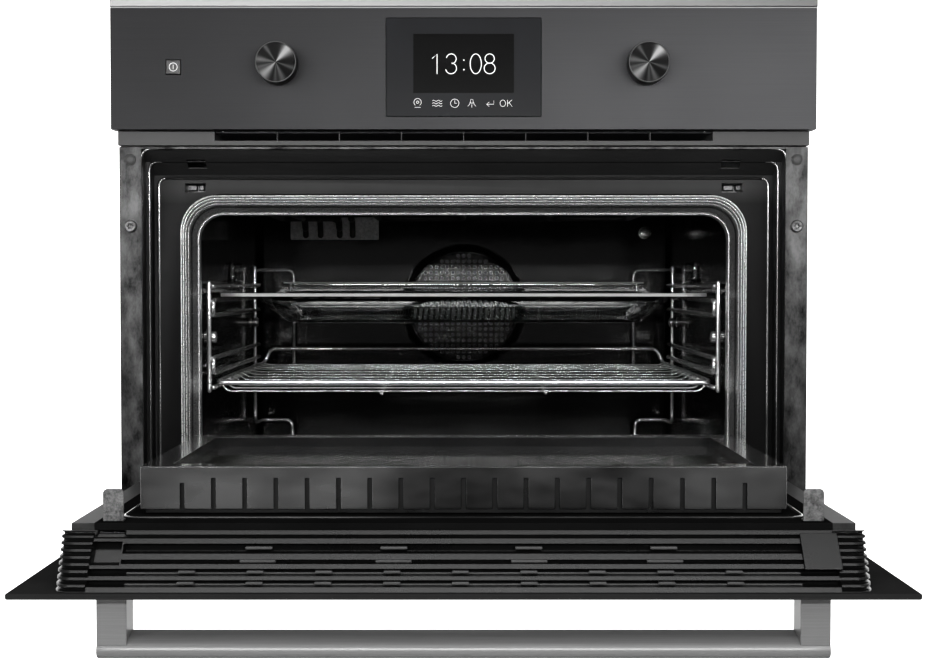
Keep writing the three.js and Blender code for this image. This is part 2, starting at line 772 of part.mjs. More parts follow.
// A deep glass tray whose flange rides between the upper pair of guides.
function glassTray() {
  const wall = 4;
  const flange = [202.4, 206.4];
  const bottom = 177.5;
  const ring = (half, r, z) => {
    const points = roundRect([0, 270], half, r).getPoints(2);
    return points.map((p) => V3(p.x, p.y, z));
  };
  const rim = prism("z", roundRect([0, 270], [226.5, 170], 26), flange);
  const outer = loft(ring([171, 121], 28, bottom), ring([196, 146], 36, flange[1] - 1));
  const inner = loft(ring([167, 117], 26, bottom + wall), ring([193, 143], 34, flange[1] + 1));
  const lip = block([-206, 206], [436, 440], [flange[1] - 1, 216]);
  return cut(join([rim, outer, lip]), [inner]);
}

// A wire shelf on the lower guides: a frame, cross wires, two runners and a bar raised at the back.
function wireShelf() {
  const side = RACK_X - 2;
  const z = GUIDE_HEIGHTS[0] + GUIDE_RADIUS + GAP + 2.4;
  const low = z - 2.4;
  const wires = [];
  for (const x of [-side, side]) {
    wires.push(rod(V3(x, 100, z), V3(x, 440, z), 2.4, 6));
    wires.push(rod(V3(x, 438, z), V3(Math.sign(x) * 217, 438, 141), 2.4, 6));
  }
  wires.push(rod(V3(-219, 438, 141), V3(219, 438, 141), 2.4, 6));
  wires.push(rod(V3(-224, 102, low), V3(224, 102, low), 2.3, 6));
  for (let i = 1; i <= 15; i++) {
    wires.push(rod(V3(-224, 102 + 22 * i, low), V3(224, 102 + 22 * i, low), 1.5, 6));
  }
  for (const x of [-75, 75]) {
    wires.push(rod(V3(x, 101, low - 2.6), V3(x, 435, low - 2.6), 1.8, 6));
  }
  return join(wires);
}

add(assembly(), "glass_tray", glassTray(), looks.clearGlass);
add(assembly(), "wire_shelf", wireShelf(), looks.chrome);

// ---- Door, lying open ------------------------------------------------------------------------------

const door = assembly();

// The louvred moulding along the free edge: its face leans back from the outer glass to the inner plate.
const TRIM_FOOT = { y: -312, z: 15.6 };
const TRIM_HEAD = { y: -281, z: 50.2 };

function trimFace(z) {
  const part = (z - TRIM_FOOT.z) / (TRIM_HEAD.z - TRIM_FOOT.z);
  return TRIM_FOOT.y + part * (TRIM_HEAD.y - TRIM_FOOT.y);
}

function doorTrim() {
  const foot = DOOR_SKIN[1] + GAP;
  const back = -279.2;
  const outer = polygon([
    [TRIM_FOOT.y, foot],
    [back, foot],
    [back, TRIM_HEAD.z],
    [TRIM_HEAD.y, TRIM_HEAD.z],
    [TRIM_FOOT.y, TRIM_FOOT.z],
  ]);
  const inner = polygon([
    [TRIM_FOOT.y + 3, foot + 1.2],
    [back + 2, foot + 1.2],
    [back + 2, TRIM_HEAD.z - 1.4],
    [TRIM_HEAD.y + 0.6, TRIM_HEAD.z - 1.4],
  ]);
  const shell = cut(prism("x", outer, [-268.5, 268.5]), [prism("x", inner, [-266.5, 266.5])]);
  const slots = [];
  for (let row = 0; row < 4; row++) {
    const z = 21 + 7.7 * row;
    const y = trimFace(z);
    for (let i = 0; i < 4; i++) {
      const x = -204 + 102.5 * i;
      slots.push(block([x, x + 98], [y - 4, y + 6], [z - 1.6, z + 1.6]));
    }
  }
  slots.push(block([-246, -227], [trimFace(38) - 10, trimFace(38) + 10], [30, 46]));
  return cut(shell, slots);
}

function doorTrimClip() {
  const away = { y: -0.744, z: 0.667 };
  const at = (z, out) => [trimFace(z) + away.y * out, z + away.z * out];
  return prism("x", polygon([at(27, 0.4), at(48, 0.4), at(48, 1.6), at(27, 1.6)]), [224, 249]);
}

function doorPlate() {
  const edge = -278.6;
  const end = 3.5;
  const low = DOOR_SKIN[1] + GAP + 0.2;
  const sheet = [DOOR_PLATE_TOP - 1.3, DOOR_PLATE_TOP];
  const parts = [
    block([-DOOR_PLATE_HALF, DOOR_PLATE_HALF], [edge, end], sheet),
    block([-DOOR_PLATE_HALF, DOOR_PLATE_HALF], [edge, edge + SHEET], [46, 54]),
  ];
  for (const [, side] of SIDES) {
    parts.push(block(span(side, 261.8, DOOR_PLATE_HALF), [edge, end], [low, 54]));
  }
  const window = block([-200, 200], [-220, -39], [50, 60]);
  return cut(join(parts), [window]);
}

// A raised hollow frame on the plate. Its outer wall is cut into teeth by narrow slots.
function chokeBox() {
  const [y0, y1] = CHOKE_Y;
  const [z0, z1] = CHOKE_Z;
  const wall = 1.2;
  const outer = block([-CHOKE_HALF, CHOKE_HALF], CHOKE_Y, CHOKE_Z);
  const inside = block([-CHOKE_HALF + wall, CHOKE_HALF - wall], [y0 + wall, y1 - wall], [z0 - 5, z1 - wall]);
  const slots = [];
  for (let i = -9; i <= 9; i++) {
    const height = Math.abs(i) === 9 ? 18 : 21.5;
    slots.push(block([21.7 * i - 1.5, 21.7 * i + 1.5], [y0 - 5, y1 + 5], [z0 - 5, z0 + height]));
  }
  for (let i = -4; i <= 4; i++) {
    const y = (y0 + y1) / 2 + 22.5 * i;
    slots.push(block([-CHOKE_HALF - 5, CHOKE_HALF + 5], [y - 1.5, y + 1.5], [z0 - 5, z0 + 21.5]));
  }
  const [w0, w1] = WINDOW_Y;
  const lining = block(
    [-WINDOW_HALF - 1.5, WINDOW_HALF + 1.5],
    [w0 - 1.5, w1 + 1.5],
    [DOOR_PLATE_TOP + GAP, z1],
  );
  const opening = block([-WINDOW_HALF, WINDOW_HALF], WINDOW_Y, [50, 100]);
  return cut(join([cut(outer, [inside, ...slots]), lining]), [opening]);
}

// A bracket at each end of the door's lower edge: a channel with the hinge pin across its cheeks.
function hingeArm(side) {
  const { y, z } = HINGE;
  const low = DOOR_SKIN[1] + GAP;
  const cheek = polygon([
    [-88, low],
    [12, low],
    [12, 26],
    [4, 49],
    [-88, 49],
  ]);
  const parts = [
    prism("x", cheek, span(side, 263.6, 265.6)),
    prism("x", cheek, span(side, 269.4, 271.4)),
    block(span(side, 265, 270), [-88, 3], [low, 49]),
    rod(V3(side * 264, y, z), V3(side * 271, y, z), 2, 12),
  ];
  return join(parts);
}

// An upright tab that enters the frame's latch slot, on a foot along the plate.
function latchTongue() {
  const tab = new THREE.Shape();
  tab.moveTo(-7, DOOR_PLATE_TOP + GAP);
  tab.lineTo(7, DOOR_PLATE_TOP + GAP);
  tab.absarc(4, 74, 3, 0, Math.PI / 2);
  tab.absarc(-4, 74, 3, Math.PI / 2, Math.PI);
  const foot = block([-7, 7], [-273.2, -267], [DOOR_PLATE_TOP + GAP, DOOR_PLATE_TOP + 1.8]);
  return join([prism("y", tab, [-273.2, -271.7]), foot]);
}

// A bar across the door's outside, thicker towards the hinge, carried on a post at each end.
const barSlope = (HANDLE_THICK[1] - HANDLE_THICK[0]) / (HANDLE_Y[1] - HANDLE_Y[0]);
const barTop = (y) => HANDLE_BOTTOM + HANDLE_THICK[0] + (y - HANDLE_Y[0]) * barSlope;

function handleBar() {
  const outline = polygon([
    [HANDLE_Y[0], HANDLE_BOTTOM],
    [HANDLE_Y[1], HANDLE_BOTTOM],
    [HANDLE_Y[1], barTop(HANDLE_Y[1])],
    [HANDLE_Y[0], barTop(HANDLE_Y[0])],
  ]);
  return prism("x", outline, [-HANDLE_HALF, HANDLE_HALF]);
}

function handlePost() {
  const [free, hinged] = [HANDLE_Y[0] + 1, HANDLE_Y[1] - 1];
  const outline = polygon([
    [free, barTop(free) + GAP],
    [hinged, barTop(hinged) + GAP],
    [hinged, DOOR_SKIN[0] - GAP],
    [free, DOOR_SKIN[0] - GAP],
  ]);
  return prism("x", outline, [-10, 10]);
}

function windowGlass() {
  const half = WINDOW_HALF - 0.4;
  return block([-half, half], [WINDOW_Y[0] + 0.4, WINDOW_Y[1] - 0.4], WINDOW_GLASS_Z);
}

const middleGlass = () => block([-MIDDLE_GLASS.half, MIDDLE_GLASS.half], MIDDLE_GLASS.y, MIDDLE_GLASS.z);

const skin = roundRect([0, (DOOR_FREE_EDGE + 19.3) / 2], [FRONT_HALF, (19.3 - DOOR_FREE_EDGE) / 2], 2.5);
add(door, "door_outer_glass", prism("z", skin, DOOR_SKIN), looks.blackGlass);
add(door, "door_trim", doorTrim(), looks.blackPlastic);
add(door, "door_trim_clip", doorTrimClip(), looks.greyPlastic);
add(door, "door_plate", doorPlate(), looks.satinSteel);
add(door, "choke_box", chokeBox(), looks.satinSteel);
add(door, "door_inner_glass", windowGlass(), looks.blackGlass);
add(door, "door_middle_glass", middleGlass(), looks.clearGlass);
add(door, "handle_bar", handleBar(), looks.silver);
for (const [name, side] of SIDES) {
  add(door, "latch_tongue_" + name, latchTongue(), looks.galvanised, [side * LATCH_X, 0, 0]);
  add(door, "hinge_arm_" + name, hingeArm(side), looks.galvanised);
  add(door, "handle_post_" + name, handlePost(), looks.silver, [side * (HANDLE_HALF - 10), 0, 0]);
}

// The origin: the middle of the base plate's underside.
oven.position.set(0, -(BODY_FRONT + BODY_BACK) / 2, 0);

export default oven;
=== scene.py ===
"""Builds the visible surfaces of a built-in compact oven, door standing open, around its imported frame.

Shapes are worked out in millimetres from the fascia's face: x to the oven's right, y into the oven, z up.
Each is a sheet of points, a function of two parameters, and is turned into metres as its mesh is made.
"""

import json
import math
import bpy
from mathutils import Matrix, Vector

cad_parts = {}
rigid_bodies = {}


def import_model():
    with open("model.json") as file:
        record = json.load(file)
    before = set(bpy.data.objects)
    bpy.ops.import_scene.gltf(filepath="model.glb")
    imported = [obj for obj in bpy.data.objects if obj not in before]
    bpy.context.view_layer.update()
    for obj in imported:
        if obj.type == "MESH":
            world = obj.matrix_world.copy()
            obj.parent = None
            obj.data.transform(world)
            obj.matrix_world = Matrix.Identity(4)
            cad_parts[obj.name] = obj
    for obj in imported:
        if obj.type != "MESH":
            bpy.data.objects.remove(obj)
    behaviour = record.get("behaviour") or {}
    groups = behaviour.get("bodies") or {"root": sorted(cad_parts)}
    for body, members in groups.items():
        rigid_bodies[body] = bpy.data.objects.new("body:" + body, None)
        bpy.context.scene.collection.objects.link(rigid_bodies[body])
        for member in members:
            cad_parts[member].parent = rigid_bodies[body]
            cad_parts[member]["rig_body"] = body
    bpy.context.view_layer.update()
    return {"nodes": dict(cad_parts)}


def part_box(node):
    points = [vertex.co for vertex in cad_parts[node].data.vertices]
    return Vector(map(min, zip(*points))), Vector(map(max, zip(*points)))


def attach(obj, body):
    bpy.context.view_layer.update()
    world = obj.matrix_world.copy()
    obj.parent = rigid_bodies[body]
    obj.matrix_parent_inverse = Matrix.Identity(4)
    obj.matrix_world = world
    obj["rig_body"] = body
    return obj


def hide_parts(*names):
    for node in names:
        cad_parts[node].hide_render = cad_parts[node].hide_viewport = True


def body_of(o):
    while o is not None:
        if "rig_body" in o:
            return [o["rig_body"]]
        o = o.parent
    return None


bl_info = {
    "name": "Compact Wall Oven",
    "version": (1, 0, 0),
    "blender": (4, 5, 0),
    "location": "3D View > Sidebar > Oven",
    "description": "Makes the surfaces and finishes of a built-in compact oven around its packed frame",
    "category": "Object",
}

import bmesh
import bpy
import numpy as np
from bpy.props import FloatProperty, FloatVectorProperty, IntProperty, PointerProperty

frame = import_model()
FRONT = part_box("fascia_panel")[0].y * 1000  # the fascia's face, millimetres along the frame's y
TURN = 2 * math.pi

# Places that several pieces share, in millimetres as spot gives them.
MOUTH = np.array([235.0, 120.0])  # half the width and half the height of the cavity's mouth
RING_RADIUS = 84  # of the heating rod about the fan, to its middle
ROD = 3.2  # the radius of that rod
GUIDE_X = 227  # each side rack's guides, from the middle
POST_X = 231  # each side rack's uprights, from the middle
TRIM_HEAD_Y = -281  # the leaning face of the door's moulding, at its top


# ---- Shapes ----------------------------------------------------------------------------------------


def spot(node):
    """A node's lowest and highest corners, in millimetres from the fascia's face."""
    return [np.array(corner) * 1000 - (0, FRONT, 0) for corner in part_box(node)]


class Surface:
    """Sheets of points that become one mesh."""

    def __init__(self):
        self.points = []
        self.quads = []
        self.marks = []
        self.count = 0

    def sheet(self, points, wrap_rows=False, wrap_columns=False, marks=None):
        """Adds a grid of points (rows, columns, 3), its last row or column joined to its first on request.
        marks are the grid's (u, v) values, kept as its UV map."""
        rows, columns = points.shape[:2]
        index = np.arange(rows * columns).reshape(rows, columns) + self.count
        if wrap_rows:
            index = np.vstack([index, index[:1]])
        if wrap_columns:
            index = np.hstack([index, index[:, :1]])
        around = (index[:-1, :-1], index[1:, :-1], index[1:, 1:], index[:-1, 1:])
        self.quads.append(np.stack(around, axis=-1).reshape(-1, 4))
        self.points.append(points.reshape(-1, 3))
        self.marks.append(np.zeros((rows * columns, 2)) if marks is None else marks.reshape(-1, 2))
        self.count += rows * columns
        return self

    def build(self, name, finish, body, slot, replaced=(), sharp=35.0, merge=1e-6):
        """Makes the mesh, closes its seams, faces it outwards and hangs it on its body."""
        points = np.concatenate(self.points) * 0.001 + (0, FRONT * 0.001, 0)
        quads = np.concatenate(self.quads)
        mesh = bpy.data.meshes.new(name)
        mesh.vertices.add(len(points))
        mesh.vertices.foreach_set("co", points.astype(np.float32).ravel())
        mesh.loops.add(quads.size)
        mesh.loops.foreach_set("vertex_index", quads.astype(np.int32).ravel())
        mesh.polygons.add(len(quads))
        mesh.polygons.foreach_set("loop_start", np.arange(0, quads.size, 4, dtype=np.int32))
        layer = mesh.uv_layers.new(name="surface")
        marks = np.concatenate(self.marks)[quads.ravel()]
        layer.data.foreach_set("uv", marks.astype(np.float32).ravel())
        mesh.update(calc_edges=True)
        mesh.validate()
        tidy = bmesh.new()
        tidy.from_mesh(mesh)
        bmesh.ops.remove_doubles(tidy, verts=tidy.verts, dist=merge)
        bmesh.ops.recalc_face_normals(tidy, faces=tidy.faces)
        tidy.to_mesh(mesh)
        tidy.free()
        return settle(mesh, name, finish, body, replaced, sharp)


def settle(mesh, name, finish, body, replaced, sharp):
    """Shades a mesh smooth up to an angle, gives it its finish and hangs its object on a body."""
    mesh.polygons.foreach_set("use_smooth", np.ones(len(mesh.polygons), dtype=bool))
    mesh.set_sharp_from_angle(angle=math.radians(sharp))
    mesh.materials.append(finish)
    made = bpy.data.objects.new(name, mesh)
    bpy.context.scene.collection.objects.link(made)
    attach(made, body)
    if replaced:
        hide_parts(*replaced)
    return made


def softened(node, name, finish, edge=0.5, segments=2, sharp=40.0):
    """A sheet-metal piece with its edges rounded: the node's own shape, merged, with a live bevel."""
    source = frame["nodes"][node]
    shape = bmesh.new()
    shape.from_mesh(source.data)
    bmesh.ops.remove_doubles(shape, verts=shape.verts, dist=1e-6)
    bmesh.ops.dissolve_limit(shape, angle_limit=0.02, verts=shape.verts, edges=shape.edges)
    mesh = bpy.data.meshes.new(name)
    shape.to_mesh(mesh)
    shape.free()
    mesh.materials.clear()
    body = body_of(source)[0]
    made = settle(mesh, name, finish, body, [node], sharp)
    bevel = made.modifiers.new("edge", "BEVEL")
    bevel.width = edge * 0.001
    bevel.segments = segments
    bevel.limit_method = "ANGLE"
    bevel.angle_limit = math.radians(sharp)
    bevel.harden_normals = True
    return made


def unit(vectors):
    return vectors / np.maximum(np.linalg.norm(vectors, axis=-1, keepdims=True), 1e-9)


def bent(corners, radius, steps=7):
    """Straight runs between corners, with each inner corner rounded by a quadratic curve."""
    corners = np.array(corners, dtype=float)
    t = np.linspace(0, 1, steps)[:, None]
    runs = [corners[:1]]
    for before, corner, after in zip(corners, corners[1:], corners[2:]):
        reach = min(radius, np.linalg.norm(corner - before) / 2, np.linalg.norm(after - corner) / 2)
        start = corner + unit(before - corner) * reach
        end = corner + unit(after - corner) * reach
        runs.append((1 - t) ** 2 * start + 2 * t * (1 - t) * corner + t**2 * end)
    runs.append(corners[-1:])
    return np.concatenate(runs)


def tube(path, radius, sides=14, closed=False, ends=4):
    """A round bar: a circle carried square to the path, drawn in to a half ball at each open end."""
    path = np.asarray(path, dtype=float)
    if closed:
        along = unit(np.roll(path, -1, 0) - np.roll(path, 1, 0))
    else:
        along = unit(np.gradient(path, axis=0))
    reference = np.array([0.27, 0.61, 0.745])
    across = unit(np.cross(along, reference))
    other = np.cross(along, across)
    size = np.full(len(path), float(radius))
    if not closed:
        a = np.linspace(math.pi / 2, 0, ends, endpoint=False)[:, None]
        start = path[0] - along[0] * radius * (np.sin(a) - 0.001)
        end = path[-1] + along[-1] * radius * (np.sin(a) - 0.001)
        path = np.concatenate([start, path, end[::-1]])
        across = np.concatenate([across[:1].repeat(ends, 0), across, across[-1:].repeat(ends, 0)])
        other = np.concatenate([other[:1].repeat(ends, 0), other, other[-1:].repeat(ends, 0)])
        small = radius * np.cos(a[:, 0])
        size = np.concatenate([small, size, small[::-1]])
    angle = np.linspace(0, TURN, sides, endpoint=False)
    spin = np.cos(angle)[None, :, None] * across[:, None] + np.sin(angle)[None, :, None] * other[:, None]
    return path[:, None] + spin * size[:, None, None]


def tubes(paths, radius, sides=12):
    """One surface that holds a bar along each path."""
    made = Surface()
    for path in paths:
        made.sheet(tube(path, radius, sides), wrap_columns=True)
    return made


def revolve(profile, centre, axis="y", segments=64):
    """A profile of (radius, distance) points turned about an axis through the centre.
    Its marks are the angle and the place along the profile, so that brushing can run round it."""
    profile = np.asarray(profile, dtype=float)
    angle = np.linspace(0, TURN, segments + 1)
    r, d = profile[:, :1], np.repeat(profile[:, 1:], segments + 1, 1)
    u, v = r * np.cos(angle), r * np.sin(angle)
    order = {"x": (d, u, v), "y": (u, d, v), "z": (u, v, d)}[axis]
    marks = np.stack(
        [
            np.broadcast_to(angle / TURN, d.shape),
            np.broadcast_to(np.linspace(0, 1, len(profile))[:, None], d.shape),
        ],
        axis=-1,
    )
    return np.stack(order, axis=-1) + np.asarray(centre, dtype=float), marks


def round_ring(centre, half, radius, arc=10):
    """Points round a rectangle with round corners, as rows of two coordinates."""
    corner = np.linspace(0, math.pi / 2, arc)
    points = []
    for turn, (side, level) in enumerate([(1, 1), (-1, 1), (-1, -1), (1, -1)]):
        a = corner + turn * math.pi / 2
        hub = (centre[0] + side * (half[0] - radius), centre[1] + level * (half[1] - radius))
        points.append(np.array(hub) + radius * np.stack([np.cos(a), np.sin(a)], axis=-1))
    return np.concatenate(points)


def lofted(levels, arc=10):
    """Round-cornered rings, one for each (centre, half sizes, corner radius, place), as rows of a sheet.
    Each place is a function from the ring's (a, b) to x, y and z."""
    rows = [place(round_ring(centre, half, radius, arc)) for centre, half, radius, place in levels]
    return np.stack(rows)


def facing(y):
    """Stands a ring up at a depth: its coordinates are x and z."""
    return lambda ring: np.stack([ring[:, 0], np.full(len(ring), float(y)), ring[:, 1]], axis=-1)


def lying(z):
    """Lays a ring down at a height: its coordinates are x and y."""
    return lambda ring: np.stack([ring[:, 0], ring[:, 1], np.full(len(ring), float(z))], axis=-1)


def cushion_box(low, high, edge, axis=1, arc=4, fillet=4):
    """A block with every edge rounded: round-cornered rings that grow out of one face in a quarter circle,
    run through, and shrink to the other. Each face has a ring close to its edge, which keeps it flat."""
    low, high = np.asarray(low, dtype=float), np.asarray(high, dtype=float)
    others = [i for i in range(3) if i != axis]
    centre, half = (low + high) / 2, (high - low) / 2
    edge = min(edge, *(half * 0.9))
    a = np.linspace(0, math.pi / 2, fillet)
    inset = edge * (1 - np.sin(a))
    rise = edge * (1 - np.cos(a))
    flat = [half[others].min() * 0.999, min(edge * 1.5, half[others].min() * 0.95)]
    inset = np.concatenate([flat, inset, inset[::-1], flat[::-1]])
    along = np.concatenate([[0, 0], rise, (high - low)[axis] - rise[::-1], [(high - low)[axis]] * 2])
    rows = []
    for step, place in zip(inset, low[axis] + along):
        size = half[others] - step
        corner = min(max(1.6 * edge - step, edge * 0.1), *(size * 0.98))
        ring = round_ring(centre[others], size, corner, arc)
        points = np.zeros((len(ring), 3))
        points[:, others] = ring
        points[:, axis] = place
        rows.append(points)
    rows.insert(0, np.repeat(rows[0].mean(0)[None], len(rows[0]), 0))
    rows.append(np.repeat(rows[-1].mean(0)[None], len(rows[0]), 0))
    return np.stack(rows)


# ---- Shader maths ----------------------------------------------------------------------------------


class Value:
    """A socket that can be added, multiplied and so on, each sum adding its Math node."""

    def __init__(self, tree, socket):
        self.tree = tree
        self.socket = socket

    def maths(self, operation, first, second):
        return self.tree.add("Math", {"operation": operation}, {0: first, 1: second})

    def __add__(self, other):
        return self.maths("ADD", self, other)

    def __radd__(self, other):
        return self.maths("ADD", other, self)

    def __sub__(self, other):
        return self.maths("SUBTRACT", self, other)

    def __rsub__(self, other):
        return self.maths("SUBTRACT", other, self)

    def __mul__(self, other):
        return self.maths("MULTIPLY", self, other)

    def __rmul__(self, other):
        return self.maths("MULTIPLY", other, self)

    def __pow__(self, other):
        return self.maths("POWER", self, other)

    def over(self, limit):
        """1 where the value is above the limit, 0 below."""
        return self.maths("GREATER_THAN", self, limit)


class Tree:
    """A material's nodes. add makes any node: settings first, then the values or links of its sockets."""

    def __init__(self, name):
        self.material = bpy.data.materials.new(name)
        self.material.use_nodes = True
        self.made = self.material.node_tree.nodes
        self.links = self.material.node_tree.links
        self.made.clear()

    def add(self, kind, settings=None, values=None, output=0):
        node = self.made.new("ShaderNode" + kind)
        for key, value in (settings or {}).items():
            setattr(node, key, value)
        for key, value in (values or {}).items():
            if isinstance(value, Value):
                self.links.new(value.socket, node.inputs[key])
            else:
                node.inputs[key].default_value = value
        return Value(self, node.outputs[output]) if node.outputs else None

    def place(self, scale=(1, 1, 1)):
        """The object's own coordinates in metres, stretched."""
        here = self.add("TexCoord", output="Object")
        return self.add("VectorMath", {"operation": "MULTIPLY"}, {0: here, 1: scale})

    def ramp(self, axis, start, end):
        """0 before one place along an axis and 1 past another, even between, in metres."""
        along = self.add("SeparateXYZ", None, {0: self.place()}, axis)
        return self.add("MapRange", None, {"Value": along, "From Min": start, "From Max": end})

    def noise(self, scale=(1, 1, 1), detail=4.0, rough=0.55):
        values = {"Vector": self.place(scale), "Scale": 1.0, "Detail": detail, "Roughness": rough}
        return self.add("TexNoise", None, values, "Fac")

    def blend(self, part, first, second):
        """The first colour where part is 0, the second where it is 1."""
        values = {0: part, 6: first, 7: second}
        return self.add("Mix", {"data_type": "RGBA"}, values, 2)

    def finish(self, **sockets):
        """A Principled surface with these sockets, to the output. Underscores stand for spaces."""
        values = {key.replace("_", " "): value for key, value in sockets.items()}
        shader = self.add("BsdfPrincipled", None, values)
        self.add("OutputMaterial", None, {"Surface": shader})
        return self.material

    def bump(self, height, distance, strength=0.5):
        values = {"Height": height, "Distance": distance, "Strength": strength}
        return self.add("Bump", None, values)


def shade(level, tint=(1.0, 1.0, 1.0)):
    return (level * tint[0], level * tint[1], level * tint[2], 1.0)


COOL = (0.99, 0.99, 1.02)
FINISHES = {}


def finish_of(maker):
    """Keeps one material for each maker's name, made when it is first asked for."""

    def ask():
        if maker.__name__ not in FINISHES:
            FINISHES[maker.__name__] = maker()
        return FINISHES[maker.__name__]

    return ask


def brushed(name, level, rough, stretch, tint=(1, 1, 1), spread=0.3, metal=1.0, painted_sheen_ratio=1.0):
    """Brushed metal: noise drawn out along the brushing sets tone, gloss and a fine relief. The tone changes
    from the oven's left to its right by a factor, a painted reflection gradient."""
    tree = Tree(name)
    lines = tree.noise(stretch, 5.0, 0.65)
    patches = tree.noise((7, 7, 9), 3.0)
    tone = (lines - 0.5) * 1.6 + 0.5
    # Painted reflection: the colour goes from its level on the left to that level times the factor on the
    # right.
    across = tree.ramp(0, -0.3, 0.3)
    left = tree.blend(tone, shade(level * (1 - spread), tint), shade(level * (1 + spread), tint))
    painted_sheen_level = level * painted_sheen_ratio
    right = tree.blend(tone, shade(painted_sheen_level * (1 - spread), tint), shade(painted_sheen_level * (1 + spread), tint))
    return tree.finish(
        Base_Color=tree.blend(across**1.5, left, right),
        Metallic=metal,
        Roughness=rough + (lines - 0.5) * 0.22 + (patches - 0.5) * 0.12,
        Anisotropic=0.55,
        Normal=tree.bump(lines, 0.00004, 0.35),
    )


@finish_of
def dark_steel():
    level = bpy.context.scene.oven_looks.steel_level
    # Its last value paints a reflection gradient, twice as light on the oven's right as on its left.
    return brushed("dark_steel", level, 0.5, (9, 900, 2300), COOL, 0.16, 1.0, 2.0)


@finish_of
def silver():
    level = bpy.context.scene.oven_looks.silver_level
    return brushed("silver", level, 0.4, (12, 1500, 1500), (1, 1, 1), 0.16, 0.35)


@finish_of
def trim_silver():
    level = bpy.context.scene.oven_looks.silver_level * 1.5
    # Its last value paints a reflection gradient, the trim darker on the oven's right than on its left.
    return brushed("trim_silver", level, 0.36, (12, 1500, 1500), (1, 1, 1), 0.1, 0.5, 0.42)


@finish_of
def frame_steel():
    """Satin stamped steel on the face, mottled and rubbed, and black enamel from the recess inwards, darker
    there as painted shade, and paler above the cavity than at its sides as painted light."""
    tree = Tree("frame_steel")
    fine = tree.noise((900, 900, 160), 4.0)
    soft = tree.noise((14, 14, 14), 4.0)
    rubbed = tree.noise((60, 60, 30), 6.0, 0.7)
    # Past the recess's edge the steel turns to black enamel, made darker still as painted shade in the
    # recess.
    deep = tree.ramp(1, FRONT * 0.001 + 0.0206, FRONT * 0.001 + 0.0225)
    face = tree.blend((rubbed - 0.5) * 2.6 + soft, shade(0.005), shade(0.11))
    # Painted light: the enamel is paler above the cavity, its sides kept darker as painted shade.
    above = tree.ramp(2, 0.285, 0.3)
    darker = tree.blend(above, shade(0.003), shade(0.03))
    lighter = tree.blend(above, shade(0.01), shade(0.05))
    inside = tree.blend(soft, darker, lighter)
    return tree.finish(
        Base_Color=tree.blend(deep, face, inside),
        Metallic=0.85 - deep * 0.8,
        Roughness=0.27 + rubbed * 0.14 + (fine - 0.5) * 0.1,
        Specular_IOR_Level=0.12,
        Normal=tree.bump(fine + rubbed * 0.6, 0.00008, 0.3),
    )


@finish_of
def plate_steel():
    """The door's inner plate: grey steel along its sides, dull black enamel between them, partly painted
    shade of the gap under the raised frame.
    """
    tree = Tree("plate_steel")
    soft = tree.noise((18, 18, 18), 4.0)
    rubbed = tree.noise((80, 60, 80), 6.0, 0.7)
    along = tree.add("SeparateXYZ", None, {0: tree.place()}, 0)
    middle = 1 - tree.add("Math", {"operation": "ABSOLUTE"}, {0: along}).over(0.2475)
    side = tree.blend(rubbed, shade(0.015), shade(0.1))
    # The black between the sides is partly the enamel's own colour and partly painted shade of the gap under
    # the raised frame.
    black = tree.blend(soft, shade(0.006), shade(0.013))
    return tree.finish(
        Base_Color=tree.blend(middle, side, black),
        Metallic=0.6 - middle * 0.6,
        Roughness=0.4 - middle * 0.1 + rubbed * 0.12,
        Specular_IOR_Level=0.0,
        Normal=tree.bump(rubbed, 0.0001, 0.3),
    )


@finish_of
def satin_bead():
    """Rounded steel edges, where the light runs along them: painted highlights make them bright at the sides,
    dull across the top.
    """
    tree = Tree("satin_bead")
    rubbed = tree.noise((70, 70, 25), 5.0, 0.7)
    along = tree.add("SeparateXYZ", None, {0: tree.place()}, 0)
    # Painted highlight: the beads are light only where they run up the sides, past 0.262 m from the middle.
    side = tree.add("Math", {"operation": "ABSOLUTE"}, {0: along}).over(0.262)
    bright = tree.blend(rubbed, shade(0.15), shade(0.6))
    return tree.finish(
        Base_Color=tree.blend(side, shade(0.03), bright),
        Metallic=0.9,
        Roughness=0.3 - side * 0.14 + rubbed * 0.14,
    )


@finish_of
def choke_steel():
    """The door's raised frame: smooth grey enamel on steel, with a long lazy ripple; painted shade darkens
    every face behind its front.
    """
    tree = Tree("choke_steel")
    soft = tree.noise((10, 16, 22), 3.0)
    fine = tree.noise((500, 500, 500), 3.0)
    # Painted shade: every face behind the front face, the slots' insides among them, is darker than the
    # front.
    front = tree.ramp(1, FRONT * 0.001 - 0.236, FRONT * 0.001 - 0.239)
    dark = tree.blend(soft, shade(0.012), shade(0.03))
    colour = tree.blend(front, dark, tree.blend((soft - 0.5) * 2.4 + 0.5, shade(0.03), shade(0.2)))
    return tree.finish(
        Base_Color=colour,
        Metallic=0.7,
        Roughness=0.1 + soft * 0.2,
        Coat_Weight=0.5,
        Normal=tree.bump(soft + fine * 0.02, 0.0012, 0.25),
    )


@finish_of
def zinc():
    """Zinc-coated sheet: flat crystals of slightly different greys, with a dull bloom over them."""
    tree = Tree("zinc")
    values = {"Vector": tree.place((140, 140, 140)), "Scale": 1.0}
    crystal = tree.add("TexVoronoi", {"feature": "F1"}, values, "Color")
    grey = tree.add("RGBToBW", None, {"Color": crystal})
    bloom = tree.noise((9, 9, 9), 5.0)
    fine = tree.noise((700, 700, 700), 3.0)
    tone = grey * 0.35 + bloom * 0.5 + fine * 0.15
    return tree.finish(
        Base_Color=tree.blend(tone, shade(0.2, COOL), shade(0.42, COOL)),
        Metallic=0.85,
        Roughness=0.36 + bloom * 0.2 + grey * 0.1,
        Normal=tree.bump(fine * 0.4 + grey * 0.2, 0.00008, 0.3),
    )


